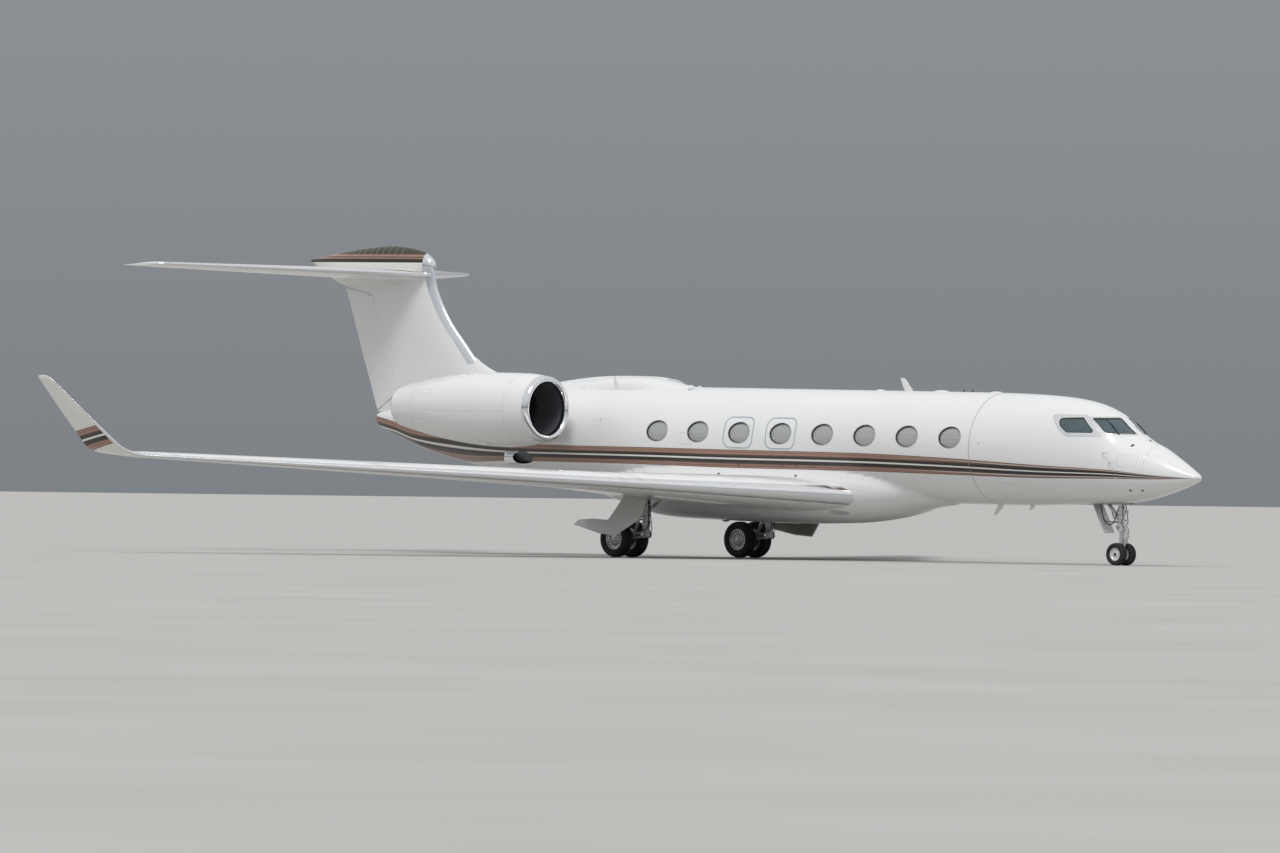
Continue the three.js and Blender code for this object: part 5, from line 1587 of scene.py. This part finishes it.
def make_cabin():
    """What shows through the doorway and the cockpit's glass: the floor and its bulkheads; and
    the nose wheel's bay with its ribs."""
    station = np.linspace(1.76, 5.90, 40)
    half = skin_y(station, FLOOR) - SKIN * 0.6
    corners = [(half, FLOOR), (-half, FLOOR), (-half, FLOOR - 0.03), (half, FLOOR - 0.03)]
    rings = np.stack([np.stack([NOSE_X - station, y, 0 * y + z], axis=-1) for y, z in corners], 1)
    parts = [part(to_parked(rings), "deck")]
    for at in (1.78, 5.90):
        wall = hull_point(np.array([[at], [at + 0.03]]), angle_grid()[None], -SKIN * 0.7)
        parts.append(part(wall, "lining"))
    assembly("cabin_floor_and_bulkheads", parts)
    low, high = WELL["roof"] + 0.02, WELL["roof"]
    x0, x1, half = NOSE_X - WELL["back"], NOSE_X - WELL["front"], WELL["half"] + 0.012
    boxes = [((x0, -half, high), (x1, half, low)), ((x0 - 0.015, -half, 1.60), (x0, half, low)),
             ((x1, -half, 1.64), (x1 + 0.015, half, low)),
             ((x0, half, 1.60), (x1, half + 0.015, low)), ((x0, -half - 0.015, 1.60), (x1, -half, low))]
    boxes += [((x, y, 1.66), (x + 0.02, y + 0.02, high))
              for x in (x0 + 0.14 + 0.19 * n for n in range(5)) for y in (-half, half - 0.02)]
    bay = [parked_part((*box_part(*box), "primer")) for box in boxes]
    assembly("nose_wheel_bay", bay)


# Engine insides and pylons

def cowl_point(station, angle, lift=0.0):
    """A parked point of the port cowl's skin, lifted off it."""
    _, top, bottom = np.moveaxis(smooth_at(COWL, station), -1, 0)
    return engine_point(NOSE_X - station, swelled(top, bottom, angle) + lift, angle)


def turned_engine(profile, finish, looped=False):
    """A profile of [radius, distance aft of the fan] turned about the engine's axis, as a part."""
    centre = (NOSE_X - ENGINE["fan"], ENGINE["out"], ENGINE["height"])
    return parked_part(turned(np.array(profile) * [1, -1], centre, finish, "x", 96, looped))


def fan_blade(turn):
    """A fan blade: lens sections that grow wider and twist from the hub to the tip, swept back
    towards it, turned to its place about the engine's axis."""
    t = np.linspace(0, 1, 14)[:, None]
    radius = 0.165 + 0.469 * t
    chord = 0.150 + 0.055 * np.sin(np.pi * t * 0.6)
    lean = np.radians(26 + 36 * t)
    share = -0.5 * np.cos(circle(24))
    thick = (0.012 - 0.008 * t) * np.sin(circle(24)) * (0.6 - share)
    back = -0.070 - 0.018 * np.sin(np.pi * t) + 0.030 * (1 - t)
    along = back - chord * share * np.cos(lean) + thick * np.sin(lean)
    side = chord * share * np.sin(lean) + thick * np.cos(lean)
    return part(engine_point(NOSE_X - ENGINE["fan"] + along, radius, turn + side / radius),
                "titanium")


def make_fan(name, side):
    """The fan: its blades, the hub between them and the spinner ahead, riding on its own body."""
    t = np.linspace(0, 1, 24)
    spinner = np.stack([0.186 * np.sin(np.pi / 2 * t) ** 0.85, -0.252 + 0.262 * t**1.5], axis=-1)
    hub = turned_engine([*spinner, [0.190, 0.020], [0.190, 0.140], [0.150, 0.148],
                         [0.056, 0.150], [0.056, 0.168], [0.004, 0.168]], "spinner")
    blades = [fan_blade(turn) for turn in circle(ENGINE["blades"])[0]]
    assembly(f"{name}_fan_blades", [*blades, hub], side, f"{name}_fan",
             f"{name}_fan")


def make_core(name, side):
    """What lies behind the fan: guide vanes, the core's case, its lobed mixer and exhaust cone."""
    case = turned_engine([[0.06, 0.176], [0.30, 0.192], [0.345, 0.240], [0.385, 0.40],
                          [0.40, 0.70], [0.40, 2.30], [0.395, 2.55], [0.375, 2.70], [0.30, 2.78],
                          [0.255, 2.90], [0.215, 3.10], [0.155, 3.35], [0.085, 3.55],
                          [0.004, 3.69]], "hot")
    around = circle(192)
    t = np.concatenate([np.linspace(0, 1, 16), np.linspace(1, 0, 16)])[:, None]
    wall = np.repeat([[0.0], [0.006]], 16, axis=0)
    radius = 0.440 + 0.015 * t + 0.055 * t**1.3 * np.cos(ENGINE["lobes"] * around) - wall
    mixer = engine_point(NOSE_X - ENGINE["fan"] - 2.45 - 0.62 * t, radius, around)
    parts = [case, part(mixer, "hot", True),
             turned_engine([[0.40, 0.36], [0.40, 0.20], [0.388, 0.20], [0.388, 0.36]], "alloy",
                           True)]
    parts += [vane(turn, 0.36, 0.652, 0.22, 0.12, 0.010, 0.35)
              for turn in circle(ENGINE["vanes"])[0]]
    for turn in circle(ENGINE["struts"])[0]:
        parts += [vane(turn + np.pi / ENGINE["struts"], 0.385, 0.654, 0.66, 0.30, 0.050, 0.0),
                  vane(turn, 0.385, 0.440, 2.46, 0.20, 0.020, 0.0)]
    assembly(f"{name}_core", parts, side, f"{name}_engine_core")


def vane(turn, low, high, back, chord, thick, lean):
    """A straight lens-shaped strut between two radii, turned to its place, as a part."""
    radius = np.linspace(low, high, 4)[:, None]
    share = 0.5 - 0.5 * np.cos(circle(16))
    angle = turn + (thick / 2 * np.sin(circle(16)) + lean * chord * share) / radius
    return part(engine_point(NOSE_X - ENGINE["fan"] - back - chord * share, radius, angle), "alloy")


def make_pylon(name, side):
    """The pylon: a lens-nosed section carried from inside the hull to just inside the cowl."""
    skin, _ = surface(PYLON)
    shares = np.concatenate(both_sides(34))
    station = np.array(PYLON)[:, 1].mean() + shares * 4.12
    radius = smooth_at(COWL, np.clip(station, 18.96, 23.70))[:, 1]
    span = 0.9 + (ENGINE["out"] - radius + 0.030 - 0.9) * np.linspace(0, 1, 16)[:, None]
    rings = np.concatenate([skin(span[:, :34], shares[None, :34], 1),
                            skin(span[:, 34:], shares[None, 34:], -1)], axis=1)
    edged_loft(f"{name}_pylon_skin", to_parked(rings, side), 33, 6, f"{name}_pylon")


def make_cowl_lines(name, side):
    """Seams, hatch outlines and latches on the cowl, the lip's joint and the nozzle's band."""
    line = lambda path, looped, width=0.007: skin_line(path, width, looped, cowl_point, 0.9)
    parts = [line(np.stack([np.full(120, at), circle(120)[0]], axis=-1), True)
             for at in (19.55, 22.90)]
    parts += [line(np.stack([np.linspace(19.56, 22.89, 40), np.full(40, at)], axis=-1), False)
              for at in (-0.10, -1.62, 2.60)]
    parts += [line(rounded(oblong(22.20, 22.75, *ends), 0.04), True, 0.006)
              for ends in ((0.45, 0.62), (-0.42, -0.25))]
    for at in (19.9, 20.4, 20.9, 21.4):
        latch = rounded(oblong(at, at + 0.12, -1.655, -1.585), 0.01)
        inner = latch.mean(0) + (latch - latch.mean(0)) * 0.1
        parts.append(part(np.stack([cowl_point(*edge.T, lift) for edge, lift in
                                    ((latch, -0.004), (latch, 0.0015), (inner, 0.002))]), "steel"))
    assembly(f"{name}_cowl_lines", parts, side)
    band = turned_engine([[0.640, -0.840], [0.640, -0.795], [0.634, -0.795], [0.634, -0.840]],
                         "rubber", True)
    nozzle = turned_engine([[0.500, 3.930], [0.500, 3.979], [0.464, 3.979], [0.470, 3.930]],
                           "steel", True)
    assembly(f"{name}_cowl_bands", [band, nozzle], side)


# Wheels and legs

def middle_of(node):
    """The middle of a CAD node's box."""
    return np.mean(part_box(node), axis=0)


def tyre_part(centre, radius, rim, width, grooves):
    """A tyre: a rounded section from bead to bead about its axle, with grooves in its tread."""
    side = [[0, 0.0, 0.70], [1, 0.04, 0.80], [2, 0.26, 0.96], [3, 0.50, 1.0], [4, 0.72, 0.97],
            [5, 0.87, 0.84], [6, 0.95, 0.66], [7, 0.985, 0.45]]
    side = smooth_at(side, np.linspace(0, 7, 40))[:, 1:] * [radius - rim, width / 2] + [rim, 0]
    tread = [[radius - deep, groove + wide] for groove in grooves
             for deep, wide in ((0, 0.009), (0.009, 0.006), (0.009, -0.006), (0, -0.009))]
    return turned([*side, *tread, *(side[::-1] * [1, -1])], centre, "rubber", "y", 128, True)


def hub_part(centre, scale, axle, finish):
    """A wheel's rim and dish, as a profile about the axle from its inner to its outer flange."""
    profile = np.array([
        [0.0435, -0.050], [0.100, -0.056], [0.150, -0.060], [0.178, -0.070], [0.205, -0.088],
        [0.222, -0.092], [0.232, -0.088], [0.232, 0.088], [0.226, 0.0924], [0.216, 0.0920],
        [0.209, 0.078], [0.198, 0.052], [0.184, 0.040], [0.170, 0.036], [0.112, 0.044],
        [0.090, 0.056], [0.078, 0.072], [0.062, 0.078], [0.0435, 0.078]]) * scale
    profile[[0, -1], 0] = axle - 0.001
    return turned(profile, centre, finish, "y", 96, True)


def around_axle(centre, scale, low, high, half, depths, finish, start):
    """Sixteen equal blocks set round a wheel's face between two radii, each with its back and
    its face as deep as given there."""
    turn = circle(16).T + start
    r, w = np.repeat([low, high], 4) * scale[0], np.tile([-half, half, half, -half], 2) * scale[0]
    corners = centre + np.stack([r * np.cos(turn) - w * np.sin(turn),
                                 np.repeat(depths, 2) * scale[1] + 0 * turn,
                                 r * np.sin(turn) + w * np.cos(turn)], axis=-1)
    return [part(block.reshape(2, 4, 3), finish) for block in corners]


def wheel_pair(body, hubs, tyres, radius, rim, width, axle, finish, slot):
    """Two tyres and their wheels on one axle, riding on a body that rolls."""
    main = finish == "rim"
    grooves = (0.055, 0.018, -0.018, -0.055) if main else (0.030, 0.0, -0.030)
    middle = middle_of(hubs)
    reach = abs(middle_of(tyres[0])[1] - middle[1]) + 0.05
    parts = [pin(middle[0], middle[2], reach, axle, "steel", middle[1])]
    for node in tyres:
        centre = middle_of(node)
        assembly(f"{node}_tread", [tyre_part(centre, radius, rim + 0.001, width, grooves)],
                 1, node, body)
        scale = [rim / 0.232, math.copysign(width / 0.28, centre[1] - middle[1])]
        parts.append(hub_part(centre, scale, axle, finish))
        if main:
            # Dark blocks on the main wheels' faces: painted shade for the openings in the dish.
            parts += around_axle(centre, scale, 0.112, 0.176, 0.0150,
                                 (0.030, 0.0448, 0.025, 0.0378), "dark", 0.1)
        parts += around_axle(centre, scale, 0.192, 0.202, 0.006, (0.040, 0.0535, 0.045, 0.0640),
                             "steel", 0.3)
        cap = np.array([[0.004, 0.050], [0.056, 0.050], [0.056, 0.080], [0.050, 0.090],
                        [0.030, 0.096], [0.004, 0.097]])
        # The nose wheels' centres take the near-black dark finish: painted shade at the hub's centre.
        parts.append(turned(cap * scale, centre, "alloy" if main else "dark", "y", 48))
    assembly(f"{hubs}_wheels", parts, 1, hubs, body)


def boss(centre, bore, radius, half, finish="alloy"):
    """A round eye with a hole, about an axle along Y."""
    profile = [[bore, -half], [radius - 0.006, -half], [radius, -half + 0.006],
               [radius, half - 0.006], [radius - 0.006, half], [bore, half]]
    return turned(profile, centre, finish, "y", 48, True)


def make_main_leg(name, side):
    """A main leg: the post, the trailing arm and its axle eye, the shock strut, the side brace,
    the brakes and their hoses. Its parts lie about the middle plane, and move out together."""
    x, axle = MAIN_LEG["post"], MAIN_LEG["axle"]
    lug = rounded([[-0.772, 0.500], [-0.752, 0.585], [-0.692, 0.585], [-0.672, 0.500]], 0.02)
    parts = [
        column((x, 0, 0.490), (x, 0, 1.470),
               [(0, 0.070), (0.02, 0.26, 0.088), (0.28, 0.36, 0.100), (0.38, 0.62, 0.082),
                (0.64, 0.74, 0.096), (0.76, 1, 0.086)], "gear_white", 40),
        column((x, -0.118, 0.560), (x, 0.118, 0.560),
               [(0, 0.060), (0.02, 0.16, 0.092), (0.18, 0.30, 0.70, 0.82, 0.070),
                (0.84, 0.98, 0.092), (1, 0.060)], "alloy", 32),
        pin(x, 0.560, 0.150, 0.030, "steel"),
        plate(rounded([[x + 0.045, 0.490], [x + 0.045, 0.630], [-0.700, 0.610], [-1.000, 0.500],
                       [-1.112, 0.465], [-1.080, 0.387], [-0.980, 0.381], [-0.690, 0.455]],
                      [0.05, 0.05, 0.08, 0.06, 0.04, 0.04, 0.06, 0.10]),
              -0.046, 0.046, "gear_white", 0.010),
        plate(rounded([[-0.470, 0.520], [-0.470, 0.580], [-0.650, 0.560], [-0.650, 0.500]],
                      0.02), -0.048, 0.048, "alloy", 0.002),
        boss((axle, 0, MAIN_AXLE), 0.0429, 0.078, 0.050),
        rod((-0.722, 0, 0.545), (-0.512, 0, 1.120), 0.034, "steel", 32),
        column((-0.540, 0, 0.955), (-0.488, 0, 1.335),
               [(0, 0.046), (0.04, 0.16, 0.058), (0.20, 0.80, 0.052), (0.84, 0.97, 0.060),
                (1, 0.045)], "gear_white", 32),
        pin(-0.722, 0.545, 0.062, 0.024, "steel"),
        plate(lug, -0.052, -0.042), plate(lug, 0.042, 0.052),
        plate(rounded([[-0.520, 1.150], [-0.520, 1.240], [x, 1.225], [x, 1.145]], 0.02),
              -0.040, 0.040, "alloy", 0.006),
        rod((x, 0, 1.120), (x + 0.030, -0.540, 1.420), 0.032, "gear_white", 24),
        rod((x + 0.012, -0.20, 1.226), (x + 0.020, -0.35, 1.311), 0.042, "alloy", 24),
        boss((x + 0.004, -0.02, 1.125), 0.010, 0.060, 0.030),
        hose([(x + 0.090, 0.03, 1.400), (x + 0.108, 0.03, 1.05), (x + 0.120, 0.05, 0.80),
              (x + 0.060, 0.13, 0.66), (x - 0.150, 0.075, 0.66), (x - 0.40, 0.06, 0.60),
              (axle + 0.14, 0.07, 0.53)], 0.010),
        hose([(x + 0.085, -0.04, 1.400), (x + 0.105, -0.05, 1.00), (x + 0.120, -0.06, 0.78),
              (x + 0.050, -0.13, 0.65), (x - 0.160, -0.075, 0.65), (x - 0.40, -0.06, 0.59),
              (axle + 0.14, -0.07, 0.53)], 0.010),
        hose([(x + 0.094, 0, 1.380), (x + 0.116, 0, 1.10), (x + 0.122, 0, 0.86),
              (x + 0.100, 0.02, 0.70), (x + 0.050, 0.05, 0.645)], 0.007),
    ]
    for z in (0.86, 1.02, 1.28):
        parts += [column((x, 0, z - 0.014), (x, 0, z + 0.014), [(0, 1, 0.100)]),
                  pin(x + 0.096, z, 0.05, 0.016)]
    disc = np.array([[0.050, 0.054], [0.120, 0.054], [0.140, 0.062], [0.165, 0.066],
                     [0.165, 0.100], [0.158, 0.104], [0.165, 0.108], [0.165, 0.168],
                     [0.156, 0.175], [0.050, 0.175]])
    for out in (1, -1):
        parts.append(turned(disc * [1, out], (axle, 0, MAIN_AXLE), "hot", "y", 64, True))
        for turn in circle(7)[0]:
            at, z = axle + 0.125 * math.cos(turn), MAIN_AXLE + 0.125 * math.sin(turn)
            parts.append(rod((at, 0.044 * out, z), (at, 0.080 * out, z), 0.022))
    parts = [(points + [0, MAIN_LEG["out"], 0], faces, finish) for points, faces, finish in parts]
    assembly(f"{name}_main_leg_parts", parts, side, f"{name}_main_leg")


def make_main_door(name, side):
    """The door that hangs on a main leg: a slanted outer sheet, an inner sheet and its ribs."""
    line = rounded([[-0.480, 1.478], [0.270, 1.478], [0.425, 1.000], [0.395, 0.910],
                    [0.075, 0.670], [-0.115, 0.530], [-0.655, 0.570], [-1.675, 0.780],
                    [-1.585, 0.900], [-1.075, 0.930], [-0.605, 0.900]],
                   [0.01, 0.01, 0.04, 0.04, 0.06, 0.06, 0.10, 0.02, 0.02, 0.08, 0.06])
    out_at = lambda height: 2.950 + 0.72 * (1.360 - height)
    slant = lambda rings: rings + out_at(rings[..., 2:]) * [0, 1, 0]
    parts = [plate(line, 0.012, 0.026, "gear_white", 0.003, slant),
             plate(grown(line, -0.030), 0.0, 0.013, "primer", 0.003, slant)]
    for ends in ((-0.36, 1.42, -0.30, 0.66), (0.00, 1.42, 0.02, 0.74), (0.24, 1.40, 0.26, 0.90),
                 (-0.40, 0.76, -1.45, 0.84), (-0.32, 1.12, 0.30, 1.10), (-0.55, 0.66, 0.05, 0.78)):
        a, b = np.reshape(ends, (2, 2))
        aside = unit(b - a)[::-1] * [-0.014, 0.014]
        rib = np.array([a + aside, b + aside, b - aside, a - aside])
        parts.append(plate(rib, -0.024, 0.001, "primer", 0.002, slant))
    parts += [rod((MAIN_LEG["post"], 2.315, z), (-0.270, out_at(z) - 0.01, z), 0.020)
              for z in (0.92, 1.00)]
    assembly(f"{name}_main_door", parts, side, f"{name}_main_gear_door")


def make_nose_gear():
    """The nose leg: its fixed post, trunnion and drag brace, the door that hangs behind it, and
    the part that steers."""
    x = NOSE_LEG
    fixed = [
        column((x, 0, 0.986), (x, 0, 1.750),
               [(0, 0.070), (0.02, 0.14, 0.078), (0.16, 0.24, 0.090), (0.26, 0.60, 0.072),
                (0.62, 0.90, 0.084), (1, 0.078)], "gear_white", 40),
        column((x, -0.2145, 1.600), (x, 0.2145, 1.600),
               [(0, 0.034), (0.04, 0.2, 0.045), (0.35, 0.65, 0.060), (0.8, 0.96, 0.045),
                (1, 0.034)], "gear_white", 32),
        plate(rounded(framed(12.04, 12.24, 1.640, 1.720), 0.015), -0.150, 0.150),
        *(rod((12.700, 0.038 * out, 1.140), (12.160, 0.062 * out, 1.680), 0.022, "gear_white")
          for out in (1, -1)),
        pin(12.440, 1.400, 0.052, 0.030),
        pin(12.730, 1.110, 0.062, 0.036),
        pin(x - 0.085, 1.055, 0.115, 0.030),
        *(rod((x + 0.060, y, 1.060), (x - 0.090, y, 1.060), 0.026, "gear_white")
          for y in (-0.120, 0.120)),
        hose([(x + 0.078, 0.03, 1.560), (x + 0.105, 0.05, 1.330), (x + 0.120, 0.085, 1.12),
              (x + 0.100, 0.115, 0.995), (x + 0.088, 0.070, 0.990)], 0.010),
        hose([(x + 0.070, -0.04, 1.560), (x + 0.100, -0.060, 1.300), (x + 0.125, -0.095, 1.12),
              (x + 0.098, -0.120, 0.995), (x + 0.086, -0.070, 0.990)], 0.010),
        hose([(12.230, -0.120, 1.620), (12.310, -0.150, 1.330), (12.400, -0.160, 1.080),
              (12.540, -0.150, 0.955), (12.680, -0.130, 1.020), (12.730, -0.110, 1.180),
              (12.760, -0.070, 1.330)], 0.014),
        hose([(12.250, 0.120, 1.620), (12.340, 0.150, 1.360), (12.440, 0.160, 1.120),
              (12.560, 0.150, 1.000), (12.690, 0.130, 1.060), (12.740, 0.100, 1.230),
              (12.765, 0.066, 1.370)], 0.012),
        *(column((x, 0, z - 0.012), (x, 0, z + 0.012), [(0, 1, 0.088)]) for z in (1.18, 1.36, 1.50)),
    ]
    for y in (0.060, -0.060):
        fixed += [column((x + 0.080, y, 1.260), (x + 0.128, y, 1.260),
                         [(0, 0.020), (0.3, 0.044), (0.92, 0.048), (1, 0.046)], "alloy", 32),
                  column((x + 0.1285, y, 1.260), (x + 0.134, y, 1.260),
                         [(0, 0.042), (0.5, 0.040), (1, 0.02)], "lens", 32)]
    assembly("nose_leg_parts", fixed, 1, "nose_strut")

    leaf = rounded([[12.020, 1.500], [12.050, 1.500], [12.450, 0.760], [12.420, 0.760]],
                   0.004)
    rib = np.array([[12.040, 1.480], [12.062, 1.480], [12.452, 0.790], [12.430, 0.790]])
    door = [plate(leaf, -0.190, 0.190, "gear_white", 0.006),
            *(plate(rib, y - 0.008, y + 0.008, "gear_white", 0.002)
              for y in (-0.13, -0.045, 0.045, 0.13)),
            rod((12.722, 0.0, 1.008), (12.290, 0.0, 1.035), 0.016)]
    assembly("nose_door_leaf", door, 1, "nose_gear_door")

    link = rounded([[12.860, 0.905], [12.860, 0.955], [13.025, 0.690], [12.860, 0.395],
                    [12.840, 0.455], [12.965, 0.690]], [0.01, 0.01, 0.012, 0.01, 0.01, 0.012])
    steered = [
        column((x, 0, 0.800), (x, 0, 0.984),
               [(0, 0.086), (0.06, 0.40, 0.098), (0.44, 0.60, 0.090), (0.64, 0.95, 0.098),
                (1, 0.090)], "gear_white", 40),
        rod((x, 0, 0.320), (x, 0, 0.810), 0.046, "steel", 40),
        column((x, 0, 0.318), (x, 0, 0.440),
               [(0, 0.044), (0.1, 0.052), (0.6, 0.054), (0.8, 0.052), (1, 0.047)], "gear_white"),
        pin(x - 0.020, 0.900, 0.150, 0.038),
        plate(link, -0.045, -0.028, "gear_white", 0.003),
        plate(link, 0.028, 0.045, "gear_white", 0.003),
        *(pin(at, z, 0.054, 0.014, "steel")
          for at, z in ((13.003, 0.690), (12.864, 0.930), (12.848, 0.420))),
        boss((x, 0, 0.265), 0.0325, 0.062, 0.052, "gear_white"),
        hose([(x + 0.085, 0.060, 0.960), (x + 0.150, 0.090, 0.820), (x + 0.135, 0.075, 0.600),
              (x + 0.070, 0.050, 0.420), (x + 0.050, 0.040, 0.330)], 0.008),
        hose([(x + 0.085, -0.060, 0.960), (x + 0.155, -0.095, 0.840), (x + 0.140, -0.080, 0.620),
              (x + 0.070, -0.050, 0.440), (x + 0.050, -0.040, 0.340)], 0.008),
    ]
    assembly("nose_steered_parts", steered, 1, "nose_steering", "nose_steer")


MAIN_WHEEL = (MAIN_AXLE, 0.262, 0.300, 0.0418, "rim", "wheel_alloy")
NOSE_WHEEL = (0.265, 0.155, 0.200, 0.0310, "gear_white", "wheel_white")
def make_wheels():
    """All six wheels."""
    for name in ("left", "right"):
        wheel_pair(f"{name}_main_wheels", f"{name}_main_hubs",
                   (f"{name}_main_tyre_a", f"{name}_main_tyre_b"), *MAIN_WHEEL)
    wheel_pair("nose_wheels", "nose_hubs", ("nose_tyre_a", "nose_tyre_b"), *NOSE_WHEEL)


def make_flight_deck():
    """The flight deck keeps its CAD floor, console and seats, in dark trim."""
    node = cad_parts["flight_deck"]
    node.data.materials.clear()
    node.data.materials.append(FINISH["deck"])


make_camera()
make_studio()
make_radome()
make_nose_section()
make_barrel()
make_cabin()
make_flight_deck()
make_entry_door()
pair(make_panes)
pair(make_wiper)
pair(make_windows)
make_seams()
make_fittings()
pair(make_wing)
pair(make_winglet)
make_tailplane()
make_fin()
make_cap()
pair(make_engine)
pair(make_fan)
pair(make_core)
pair(make_pylon)
pair(make_cowl_lines)
pair(make_scoop)
pair(make_main_leg)
pair(make_main_door)
make_nose_gear()
make_wheels()
